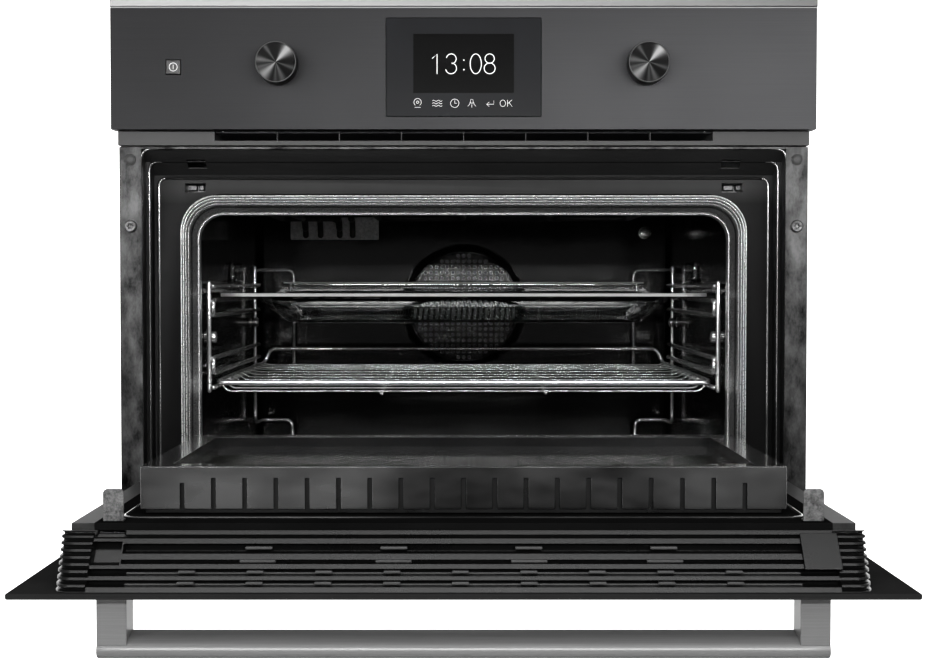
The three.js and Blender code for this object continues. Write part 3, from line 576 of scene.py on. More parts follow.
@finish_of
def enamel():
    """Black vitreous enamel: deep gloss, faint orange peel, and slow waves of the sheet below."""
    tree = Tree("enamel")
    peel = tree.noise((260, 260, 260), 2.0)
    waves = tree.noise((13, 11, 15), 3.0)
    specks = tree.noise((1500, 1500, 1500), 2.0).over(0.72)
    colour = tree.blend(specks * 0.5, shade(0.004), shade(0.03))
    return tree.finish(
        Base_Color=colour,
        Roughness=0.08 + waves * 0.08 + specks * 0.15,
        Specular_IOR_Level=0.5,
        Normal=tree.bump(waves + peel * 0.05, 0.0008, 0.4),
    )


@finish_of
def painted_rim_glint():
    """The holes' lips: bright metal, a painted glint round each hole in the black cover."""
    tree = Tree("painted_rim_glint")
    painted_glint_mottle = tree.noise((420, 420, 420), 3.0)
    # Painted highlight: the near-white lips stand in for glints at the holes' rims.
    return tree.finish(
        Base_Color=tree.blend(painted_glint_mottle, shade(0.2), shade(0.95)),
        Metallic=0.8,
        Roughness=0.12 + painted_glint_mottle * 0.15,
    )


@finish_of
def chrome():
    """Plated wire: bright, with a little haze where hands and heat have dulled it."""
    tree = Tree("chrome")
    haze = tree.noise((35, 35, 35), 4.0)
    return tree.finish(
        Base_Color=tree.blend(haze, shade(0.74), shade(0.95)),
        Metallic=0.85,
        Roughness=0.08 + haze * 0.14,
        Normal=tree.bump(haze, 0.0002, 0.2),
    )


@finish_of
def tongue_steel():
    """Galvanised tab: mottled. mottled, rubbed bright at its rim."""
    tree = Tree("tongue_steel")
    mottle = tree.noise((330, 330, 330), 4.0, 0.7)
    return tree.finish(
        Base_Color=tree.blend((mottle - 0.5) * 2 + 0.5, shade(0.03), shade(0.32)),
        Metallic=0.9,
        Roughness=0.28 + mottle * 0.3,
        Normal=tree.bump(mottle, 0.0003, 0.5),
    )


@finish_of
def clear_glass():
    tree = Tree("clear_glass")
    waves = tree.noise((16, 16, 16), 2.0)
    smears = tree.noise((60, 20, 60), 4.0)
    return tree.finish(
        Base_Color=tree.blend(waves, shade(0.93, (0.98, 1, 0.99)), shade(0.99)),
        Roughness=0.01 + smears * 0.04,
        Transmission_Weight=1.0,
        IOR=1.5,
        Normal=tree.bump(waves, 0.001, 0.15),
    )


@finish_of
def ground_glass():
    """The tray's ground and polished edges, which gather light; their pale colour is a painted highlight
    along the rims.
    """
    tree = Tree("ground_glass")
    grind = tree.noise((40, 600, 600), 4.0)
    # Painted highlight: the pale grey stands in for the light along the tray's rims.
    return tree.finish(
        Base_Color=tree.blend(grind, shade(0.4), shade(0.85)),
        Roughness=0.22 + grind * 0.2,
        Transmission_Weight=0.35,
        IOR=1.5,
    )


@finish_of
def bracket_steel():
    """Bright zinc on the grill's bracket, scuffed and spangled; its near-white, barely metallic colour is
    partly painted light, lifting it out of the cavity's shade.
    """
    tree = Tree("bracket_steel")
    scuffs = tree.noise((300, 300, 300), 5.0, 0.75)
    # Painted light: near-white colour on a barely metallic surface keeps the bracket light where little light
    # reaches.
    return tree.finish(
        Base_Color=tree.blend((scuffs - 0.5) * 2 + 0.5, shade(0.45), shade(1.0)),
        Metallic=0.1,
        Roughness=0.3 + scuffs * 0.25,
        Normal=tree.bump(scuffs, 0.0002, 0.4),
    )


@finish_of
def black_glass():
    """Glass with a black print behind it: a deep surface with the faintest smears."""
    tree = Tree("black_glass")
    smears = tree.noise((25, 9, 25), 5.0)
    return tree.finish(
        Base_Color=tree.blend(smears, shade(0.006), shade(0.012)),
        Roughness=0.04 + smears * 0.1,
        Specular_IOR_Level=0.5,
    )


@finish_of
def door_glass():
    """The door's outer glass: gloss on its outside, a dull black print on its inside."""
    tree = Tree("door_glass")
    smears = tree.noise((25, 25, 25), 5.0)
    height = tree.add("SeparateXYZ", None, {0: tree.place()}, 2)
    outside = 1 - height.over(spot("door_outer_glass")[0][2] * 0.001 + 0.0012)
    return tree.finish(
        Base_Color=tree.blend(smears, shade(0.022), shade(0.034)),
        Roughness=0.3 + smears * 0.2,
        Coat_Weight=outside * 0.8,
        Coat_Roughness=0.02,
        Specular_IOR_Level=0.0,
        IOR=1.15,
    )


@finish_of
def display_face():
    """Smoke-grey display cover, with its lit screen a shade darker, a soft sheen over both."""
    tree = Tree("display_face")
    smears = tree.noise((30, 30, 12), 4.0)
    return tree.finish(
        Base_Color=tree.blend(smears, shade(0.024, COOL), shade(0.03, (0.95, 1.0, 1.12))),
        Roughness=0.2 + smears * 0.12,
        Specular_IOR_Level=0.06,
    )


@finish_of
def screen_face():
    tree = Tree("screen_face")
    rows = tree.add("TexWave", {"bands_direction": "Z"}, {"Vector": tree.place((1, 1, 1)), "Scale": 900.0}, 1)
    return tree.finish(
        Base_Color=tree.blend(rows, shade(0.003), shade(0.006)),
        Roughness=0.25 + rows * 0.05,
        Specular_IOR_Level=0.06,
    )


@finish_of
def lit_ink():
    """The clock's figures and the key marks: off-white, softly lit, a little uneven."""
    tree = Tree("lit_ink")
    grain = tree.noise((400, 400, 400), 2.0)
    colour = tree.blend(grain, shade(0.72), shade(0.86))
    return tree.finish(
        Base_Color=colour,
        Emission_Color=colour,
        Emission_Strength=0.55,
        Roughness=0.5,
    )


@finish_of
def black_plastic():
    """Moulded black plastic: a fine spark-eroded grain and slow changes of gloss."""
    tree = Tree("black_plastic")
    grain = tree.noise((1600, 1600, 1600), 3.0)
    soft = tree.noise((20, 20, 20), 3.0)
    return tree.finish(
        Base_Color=tree.blend(soft, shade(0.004), shade(0.009)),
        Roughness=0.2 + soft * 0.12 + grain * 0.06,
        Specular_IOR_Level=0.65,
        Normal=tree.bump(grain, 0.00006, 0.5),
    )


@finish_of
def grey_plastic():
    tree = Tree("grey_plastic")
    grain = tree.noise((1400, 1400, 1400), 3.0)
    soft = tree.noise((26, 26, 26), 3.0)
    return tree.finish(
        Base_Color=tree.blend(soft, shade(0.05), shade(0.09)),
        Roughness=0.36 + soft * 0.16,
        Normal=tree.bump(grain, 0.00005, 0.5),
    )


@finish_of
def spun_black():
    """A knob's turned face: rings too fine to count, with painted glints that fan out from its middle."""
    tree = Tree("spun_black")
    mark = tree.add("UVMap", {"uv_map": "surface"})
    turn = tree.add("SeparateXYZ", None, {0: mark}, 0)
    # Painted highlights: bright wedges drawn into the colour by the angle round the knob.
    painted_glints = 0
    for count, start, sharp, part in ((2, -1.6, 12, 0.9), (3, 3.6, 14, 0.3), (5, 1.7, 12, 0.2)):
        wave = tree.add("Math", {"operation": "COSINE"}, {0: turn * (TURN * count) + start})
        painted_glints = (wave * 0.5 + 0.5) ** sharp * part + painted_glints
    stretched = tree.add("VectorMath", {"operation": "MULTIPLY"}, {0: mark, 1: (3, 260, 0)})
    rings = tree.add("TexNoise", None, {"Vector": stretched, "Scale": 1.0, "Detail": 3.0}, "Fac")
    return tree.finish(
        Base_Color=tree.blend(painted_glints * (0.6 + rings * 0.6), shade(0.006), shade(0.2)),
        Metallic=0.9,
        Roughness=0.3 + rings * 0.16,
        Normal=tree.bump(rings, 0.00008, 0.4),
    )


@finish_of
def seal_cord():
    """The ribbed seal: a silvery woven cover, with painted highlights on its ribs and painted shade in the
    grooves between them. How bright each place is painted comes with the surface, as its second mark."""
    tree = Tree("seal_cord")
    mark = tree.add("UVMap", {"uv_map": "surface"})
    crest = tree.add("SeparateXYZ", None, {0: mark}, 1)
    weave = tree.add("TexVoronoi", None, {"Vector": tree.place((700, 700, 700)), "Scale": 1.0}, "Distance")
    soft = tree.noise((30, 30, 30), 4.0)
    # Painted light and shade: the second mark sets how light each place is.
    tone = crest * (1.1 + soft * 0.5) - weave * 0.1
    return tree.finish(
        Base_Color=tree.blend(tone, shade(0.015), shade(0.95)),
        Metallic=0.85,
        Roughness=0.24 + weave * 0.1,
        Normal=tree.bump(weave, 0.00006, 0.3),
    )


@finish_of
def heater_sheath():
    tree = Tree("heater_sheath")
    bloom = tree.noise((60, 60, 60), 4.0)
    return tree.finish(
        Base_Color=tree.blend(bloom, shade(0.03), shade(0.11, (1.05, 1, 0.95))),
        Metallic=0.8,
        Roughness=0.32 + bloom * 0.25,
        Normal=tree.bump(bloom, 0.0002, 0.3),
    )


@finish_of
def circuit_green():
    tree = Tree("circuit_green")
    traces = tree.noise((220, 220, 220), 1.0).over(0.52)
    colour = tree.blend(traces, (0.01, 0.07, 0.035, 1), (0.02, 0.14, 0.07, 1))
    return tree.finish(Base_Color=colour, Roughness=0.35 + traces * 0.1)


@finish_of
def mineral_wool():
    tree = Tree("mineral_wool")
    fibres = tree.noise((500, 60, 500), 6.0, 0.8)
    colour = tree.blend(fibres, (0.34, 0.3, 0.19, 1), (0.62, 0.57, 0.42, 1))
    return tree.finish(Base_Color=colour, Roughness=0.95, Normal=tree.bump(fibres, 0.002, 0.8))


@finish_of
def pale_floor():
    """Grey paint in front; behind the oven it is pale and glows, as a lit backdrop does."""
    tree = Tree("pale_floor")
    soft = tree.noise((0.8, 0.8, 0.8), 2.0)
    depth = tree.add("SeparateXYZ", None, {0: tree.place()}, 1)
    lit = tree.add("MapRange", None, {"Value": depth, "From Min": 0.5, "From Max": 1.1})
    return tree.finish(
        Base_Color=tree.blend(lit, tree.blend(soft, shade(0.42), shade(0.46)), shade(0.86)),
        Roughness=0.85,
        Emission_Color=tree.blend(lit, shade(0), shade(1)),
        Emission_Strength=1.1,
    )


def dress(finish, *nodes):
    """Gives CAD nodes whose shape is right their finish."""
    for node in nodes:
        mesh = frame["nodes"][node].data
        mesh.materials.clear()
        mesh.materials.append(finish)


# ---- Sizes and colours a user would change ---------------------------------------------------------


class OvenLooks(bpy.types.PropertyGroup):
    """Finishes of the visible pieces."""

    steel_level: FloatProperty(
        name="Steel brightness",
        description="How light the fascia's steel is",
        default=0.038,
        min=0,
        max=1,
    )
    silver_level: FloatProperty(
        name="Silver brightness",
        description="How light the handle and top trim are",
        default=0.27,
        min=0,
        max=1,
    )
    floor_drop: FloatProperty(
        name="Floor drop", description="How far the floor lies below the base", default=0.45, unit="LENGTH"
    )
    sky: FloatVectorProperty(
        name="Surround", description="Colour of the studio around", subtype="COLOR", size=3, default=(1, 1, 1)
    )


class OvenSizes(bpy.types.PropertyGroup):
    """Sizes of the details, in millimetres."""

    edge: FloatProperty(name="Edge", description="Rounding of folded sheet edges", default=0.5, min=0.05)
    seal_ribs: IntProperty(name="Seal ribs", description="Ribs across the door seal", default=4, min=2)
    shelf_wires: IntProperty(name="Shelf wires", description="Cross wires of the shelf", default=12, min=5)
    hole_rows: IntProperty(name="Fan holes", description="Rows of holes in the fan cover", default=19, min=3)
    hole_radius: FloatProperty(name="Hole radius", description="Radius of a fan-cover hole", default=1.9)


class OvenOperator:
    """What every operator of this oven shares: it is undoable and works on the scene's settings."""

    bl_options = {"REGISTER", "UNDO"}

    def execute(self, context):
        self.make(context.scene.oven_looks, context.scene.oven_sizes)
        return {"FINISHED"}


# ---- Casing ----------------------------------------------------------------------------------------


class OVEN_OT_casing(OvenOperator, bpy.types.Operator):
    """Housing sleeve, base, back and terminal cover, with the screws that hold them"""

    bl_idname = "oven.casing"
    bl_label = "Casing"

    def make(self, looks, sizes):
        for node in ("housing_shell", "base_plate", "rear_panel"):
            softened(node, node + "_sheet", zinc(), sizes.edge)
        softened("terminal_box", "terminal_cover", black_plastic(), 0.8, 3)
        self.screws()
        self.ribs()

    def screws(self):
        """Pan-head screws along the back's edges: a dome over a short skirt, revolved about y."""
        low, high = spot("rear_panel")
        face = low[1] + 1.2
        profile = [(0, face + 2.2), (2.2, face + 1.9), (3.4, face + 1.1), (3.8, face), (0, face)]
        screws = Surface()
        for x in np.linspace(low[0] + 12, high[0] - 12, 5):
            for z in (low[2] + 8, high[2] - 8):
                points, _ = revolve(profile, (x, 0, z), "y", 20)
                screws.sheet(points)
        screws.build("rear_screws", tongue_steel(), "housing", "galvanised")

    def ribs(self):
        """Long stiffening ribs pressed out of the sleeve's sides: a half-sine ridge with tapered ends."""
        low, high = spot("housing_shell")
        y = np.linspace(low[1] + 60, high[1] - 150, 40)
        across = np.linspace(-9, 9, 13)
        run = np.clip(np.minimum(y - y[0], y[-1] - y) / 14, 0, 1)
        rise = 0.42 * np.sin(run * math.pi / 2)[:, None] * np.cos(across / 9 * math.pi / 2)[None] ** 2
        ribs = Surface()
        for side, wall in ((-1, low[0]), (1, high[0])):
            for z in (110, 200, 290):
                x = wall + side * (rise - 0.02)
                grid = np.stack(np.broadcast_arrays(x, y[:, None], z + across[None]), axis=-1)
                ribs.sheet(grid)
                ribs.sheet(grid - (side * 0.3, 0, 0) * np.ones(3))
        ribs.build("side_ribs", zinc(), "housing", "galvanised")


class OVEN_OT_front(OvenOperator, bpy.types.Operator):
    """The stepped front frame with its plugs, screws and outlet strip"""

    bl_idname = "oven.front"
    bl_label = "Front frame"

    def make(self, looks, sizes):
        softened("front_frame", "front_frame_sheet", frame_steel(), sizes.edge, 3)
        softened("air_outlet_strip", "air_outlet", grey_plastic(), 0.4)
        self.beads()
        self.strikers()
        for side in ("left", "right"):
            self.plug(side)
            self.screw(side)

    def beads(self):
        """The rounded edges of the recess: bars up one side, over the round corner, across and down. A dark
        filler closes the joint between the frame and the outlet strip."""
        beads = Surface()
        for half, top, y, radius, corner in (
            (276.9, 330.6, 21.2, 1.2, 11),
            (272.9, 320.8, 37.9, 1.1, 9),
            (267.8, 307.6, 54.8, 1.4, 8),
        ):
            path = [(-half, y, 10), (-half, y, top), (half, y, top), (half, y, 10)]
            beads.sheet(tube(bent(path, corner, 9), radius, 12), wrap_columns=True)
        beads.build("recess_beads", satin_bead(), "housing", "satin_steel")
        low, high = spot("air_outlet_strip")
        filler = cushion_box((low[0] + 1, 20.6, low[2] - 1.4), (high[0] - 1, 21.1, low[2] + 1.4), 0.2, 0)
        joint = Surface().sheet(filler, wrap_columns=True)
        joint.build("strip_joint", black_plastic(), "housing", "black_plastic")

    def strikers(self):
        """The catch behind each latch slot: a bright tongue and roller, past the tip of the door's tab."""
        for name, middle in (("left", -238), ("right", 238)):
            made = Surface()
            for start, end, depth in ((-8, 1.5, 67.6), (3.2, 8, 67.2)):
                x = (middle + start, middle + end)
                block = cushion_box((x[0], depth, 297.1), (x[1], depth + 3, 302.3), 0.9)
                made.sheet(block, wrap_columns=True)
            made.build("striker_" + name, tongue_steel(), "housing", "galvanised")

    def plug(self, side):
        """A domed cap with a small step at its rim, revolved about y."""
        low, high = spot("frame_plug_" + side)
        centre = (low + high) / 2
        y = low[1]
        a = np.linspace(0, math.pi / 2, 8)
        dome = np.stack([3.9 * np.sin(a), y + 1.1 * (1 - np.cos(a))], axis=-1)
        rest = [(4.3, y + 1.1), (4.8, y + 1.5), (4.8, y + 2.3), (3.4, y + 2.3), (3.4, high[1]), (0, high[1])]
        points, _ = revolve(np.concatenate([dome, rest]), (centre[0], 0, centre[2]), "y", 40)
        made = Surface().sheet(points)
        made.build("plug_" + side, grey_plastic(), "housing", "grey_plastic", ["frame_plug_" + side])

    def screw(self, side):
        """A countersunk head with a star recess: its floor's edge swings in and out six times a turn."""
        low, high = spot("frame_screw_" + side)
        centre = (low + high) / 2
        y = low[1]
        profile = [(0, y + 1.6), (1.3, y + 1.6), (2.1, y + 0.2), (2.6, y), (4.2, y), (5.3, y + 1.0)]
        profile += [(5.4, y + 1.6), (5.4, y + 2.9), (2.2, y + 2.9), (2.2, high[1]), (0, high[1])]
        points, _ = revolve(profile, (0, 0, 0), "y", 48)
        angle = np.arctan2(points[..., 2], points[..., 0])
        radius = np.hypot(points[..., 0], points[..., 2])
        inner = (radius < 2.4) & (points[..., 1] < y + 2)
        swing = np.where(inner, 1 + 0.22 * np.cos(6 * angle), 1.0)
        points[..., 0] *= swing
        points[..., 2] *= swing
        made = Surface().sheet(points + (centre[0], 0, centre[2]))
        made.build("screw_" + side, tongue_steel(), "housing", "chrome_wire", ["frame_screw_" + side])


# ---- Fascia ----------------------------------------------------------------------------------------


class OVEN_OT_fascia(OvenOperator, bpy.types.Operator):
    """The brushed fascia and its bright top trim"""

    bl_idname = "oven.fascia"
    bl_label = "Fascia"

    def make(self, looks, sizes):
        softened("fascia_panel", "fascia_sheet", dark_steel(), 0.6, 3)
        softened("fascia_top_trim", "fascia_trim", trim_silver(), 0.35, 3)


def stroke(path, y, width):
    """A flat pen stroke: a bar along the path pressed down to a fifth of its thickness."""
    path = np.asarray(path, dtype=float)
    line = np.stack([path[:, 0], np.full(len(path), float(y)), path[:, 1]], axis=-1)
    points = tube(line, width / 2, 10)
    points[..., 1] = y + (points[..., 1] - y) * 0.2
    return points


def arc(centre, size, start, end, steps=24):
    """An arc of an ellipse, its angles in degrees."""
    a = np.radians(np.linspace(start, end, steps))
    return np.stack([centre[0] + size[0] * np.cos(a), centre[1] + size[1] * np.sin(a)], axis=-1)


class OVEN_OT_display(OvenOperator, bpy.types.Operator):
    """The display's cover, its screen, the clock figures and the row of touch marks"""

    bl_idname = "oven.display"
    bl_label = "Display"

    def make(self, looks, sizes):
        low, high = spot("display_glass")
        self.face = low[1]
        cover = Surface().sheet(cushion_box(low, high, 0.35, 1, 6), wrap_columns=True)
        cover.build("display_cover", display_face(), "housing", "black_glass", ["display_glass"])
        screen = cushion_box((-42.4, self.face - 0.06, 375.5), (42.4, self.face + 0.5, 425), 0.05, 1, 3)
        made = Surface().sheet(screen, wrap_columns=True)
        made.build("display_screen", screen_face(), "housing", "black_glass")
        dress(black_plastic(), "display_module", "control_carrier")
        dress(circuit_green(), "control_board")
        self.clock()
        self.marks()

    def clock(self):
        """The time in thin figures. Each figure is one or two strokes, about 9 wide and 16.6 high."""
        base, tall = 391.6, 16.6
        mid = base + tall / 2
        top = base + tall
        paths = [
            [(-26.2, top - 3.6), (-22.4, top - 0.2), (-22.4, base)],
            np.concatenate(
                [
                    arc((-10.4, top - 4.1), (4.1, 4.1), 165, -80, 26),
                    arc((-10.6, base + 4.5), (4.6, 4.5), 85, -165, 30),
                ]
            ),
            arc((10.2, mid), (4.7, tall / 2), 0, 360, 48),
            arc((21.9, top - 3.9), (3.9, 3.9), 0, 360, 36),
            arc((21.9, base + 4.5), (4.6, 4.5), 0, 360, 40),
        ]
        figures = Surface()
        for path in paths:
            figures.sheet(stroke(path, self.face - 0.12, 0.75), wrap_columns=True)
        for z in (base + 3.4, top - 5.2):
            figures.sheet(stroke([(0.2, z), (0.25, z)], self.face - 0.12, 1.3), wrap_columns=True)
        figures.build("clock_figures", lit_ink(), "housing", "black_glass")

    def marks(self):
        """Small drawn signs under the screen: dial, waves, clock, lamp, return arrow and two letters."""
        z = 366.8
        waves = np.linspace(-4, 4, 24)
        ripple = 0.5 * np.sin(waves * 1.57)
        rays = [[(5.2, z - 0.6), (3.6, z - 2.4)], [(8.6, z - 0.6), (10.2, z - 2.4)]]
        paths = [
            arc((-38.8, z + 0.9), (3.1, 3.1), -50, 230, 30),
            arc((-38.8, z + 0.9), (1.0, 1.0), 0, 360, 14),
            [(-41.2, z - 3.4), (-36.4, z - 3.4)],
            np.stack([-22.2 + waves, z + 2.1 + ripple], axis=-1),
            np.stack([-22.2 + waves, z + ripple], axis=-1),
            np.stack([-22.2 + waves, z - 2.1 + ripple], axis=-1),
            arc((-7.5, z), (3.5, 3.5), 90, 450, 32),
            [(-7.5, z + 2.2), (-7.5, z), (-5.9, z)],
            [(5.6, z + 0.4), (6.0, z + 3.2), (7.8, z + 3.2), (8.2, z + 0.4)],
            [(4.9, z + 0.2), (8.9, z + 0.2)],
            [(6.9, z - 1.0), (6.9, z - 3.4)],
            *rays,
            [(25.4, z + 2.0), (25.4, z - 0.8), (19.6, z - 0.8)],
            [(21.4, z + 1.0), (19.4, z - 0.8), (21.4, z - 2.6)],
            arc((33.0, z), (2.3, 2.7), 90, 450, 28),
            [(37.0, z - 2.7), (37.0, z + 2.7)],
            [(40.6, z + 2.7), (37.2, z - 0.2)],
            [(38.2, z + 0.7), (40.8, z - 2.7)],
        ]
        signs = Surface()
        for path in paths:
            signs.sheet(stroke(path, self.face - 0.05, 0.36), wrap_columns=True)
        signs.build("touch_marks", lit_ink(), "housing", "black_glass")


class OVEN_OT_controls(OvenOperator, bpy.types.Operator):
    """Two turning knobs with spun faces, and the power key with its sign"""

    bl_idname = "oven.controls"
    bl_label = "Knobs and key"

    def make(self, looks, sizes):
        for side in ("left", "right"):
            self.knob(side)
        self.key()

    def knob(self, side):
        """A drum with a shallow dished face, a grey chamfer and a waist behind it, revolved about y."""
        low, high = spot("knob_" + side)
        x, z = (low[0] + high[0]) / 2, (low[2] + high[2]) / 2
        radius, y = (high[0] - low[0]) / 2, low[1]
        r = np.linspace(0, radius - 1.3, 26)
        dish = np.stack([r, y + 0.15 + 0.75 * (1 - (r / r[-1]) ** 2)], axis=-1)
        points, marks = revolve(dish, (x, 0, z), "y", 96)
        face = Surface().sheet(points, marks=marks)
        rim = [(radius - 1.3, y + 0.15), (radius - 1.1, y), (radius - 0.5, y + 0.1), (radius, y + 0.75)]
        rim += [(radius, y + 15.5), (radius - 0.5, y + 16.2), (radius - 2.6, y + 16.6)]
        rim += [(radius - 2.8, y + 19), (3.0, y + 19), (3.0, high[1]), (0, high[1])]
        points, marks = revolve(rim, (x, 0, z), "y", 96)
        face.sheet(points, marks=marks)
        face.build("dial_" + side, spun_black(), "knob_" + side, "black_plastic", ["knob_" + side], 50)
        edge = [(radius - 1.12, y), (radius - 0.5, y + 0.06), (radius - 0.05, y + 0.66)]
        edge += [(radius - 0.3, y + 0.8), (radius - 1.1, y + 0.3)]
        points, marks = revolve(edge + edge[:1], (x, 0, z), "y", 96)
        ring = Surface().sheet(points, marks=marks)
        ring.build("dial_edge_" + side, grey_plastic(), "knob_" + side, "black_plastic")

    def key(self):
        low, high = spot("power_button")
        made = Surface().sheet(cushion_box(low, high, 0.6, 1, 5), wrap_columns=True)
        made.build("power_key", black_plastic(), "power_button", "dark_steel", ["power_button"])
        centre = (low + high) / 2
        x, z, y = centre[0], centre[2], low[1] - 0.02
        sign = Surface()
        sign.sheet(stroke(arc((x, z), (3.4, 3.4), 0, 360, 40), y, 0.4), wrap_columns=True)
        sign.sheet(stroke([(x, z - 1.7), (x, z + 1.7)], y, 0.4), wrap_columns=True)
        sign.build("power_sign", lit_ink(), "power_button", "dark_steel")


# ---- Cavity ----------------------------------------------------------------------------------------


class OVEN_OT_cavity(OvenOperator, bpy.types.Operator):
    """Enamelled liner, ribbed seal, lamp covers and the wool behind"""

    bl_idname = "oven.cavity"
    bl_label = "Cavity"

    def make(self, looks, sizes):
        softened("cavity_liner", "liner", enamel(), 1.2, 3)
        dress(mineral_wool(), "insulation")
        self.seal(sizes.seal_ribs)
        for side in ("left", "right"):
            low, high = spot("lamp_cover_" + side)
            lens = Surface().sheet(cushion_box(low, high, 2.2, 0, 6, 5), wrap_columns=True)
            lens.build("lamp_lens_" + side, clear_glass(), "housing", "clear_glass", ["lamp_cover_" + side])

    def seal(self, ribs):
        """A funnel between two round-cornered rectangles. Going inwards its depth grows as the power 1.7
        of the way, less a row of half-round ribs on its outer half and a bell-shaped bead near the mouth."""
        low, high = spot("door_seal")
        centre = ((low[0] + high[0]) / 2, (low[2] + high[2]) / 2)
        outer = np.array([(high[0] - low[0]) / 2, (high[2] - low[2]) / 2])
        zone = 0.56
        t = np.linspace(0, 1, ribs * 16 + 1)
        ribbed = np.clip((zone - t) / 0.02, 0, 1)
        crest = np.abs(np.sin(math.pi * ribs * t / zone))
        bead = np.exp(-(((t - 0.95) / 0.035) ** 2))
        ridge = 1.6 * ribbed * crest**0.7 + 2.4 * bead
        # Painted highlights on the ribs' crests and the bead and painted shade in the grooves, kept as the
        # second mark; the tone also dips in a narrow band just inside the ribs.
        tone = 0.5 - 0.45 * np.exp(-(((t - 0.6) / 0.03) ** 2)) + 0.5 * bead
        tone += ribbed * (crest**1.6 * 0.9 - 0.35)
        depth = low[1] + 1.3 + (high[1] - low[1] - 4.5) * t**1.7 - ridge
        levels = [(centre, outer - (outer - MOUTH) * k, 32 - 11 * k, facing(y)) for k, y in zip(t, depth)]
        levels.append((centre, MOUTH, 21, facing(high[1])))
        levels.append((centre, outer, 32, facing(high[1])))
        rings = lofted(levels, 14)
        tone = np.broadcast_to(np.append(tone, [0.2, 0.2])[:, None], rings.shape[:2])
        marks = np.stack([np.zeros(tone.shape), tone], axis=-1)
        made = Surface().sheet(rings, wrap_rows=True, wrap_columns=True, marks=marks)
        made.build("ribbed_seal", seal_cord(), "housing", "seal", ["door_seal"], 60)


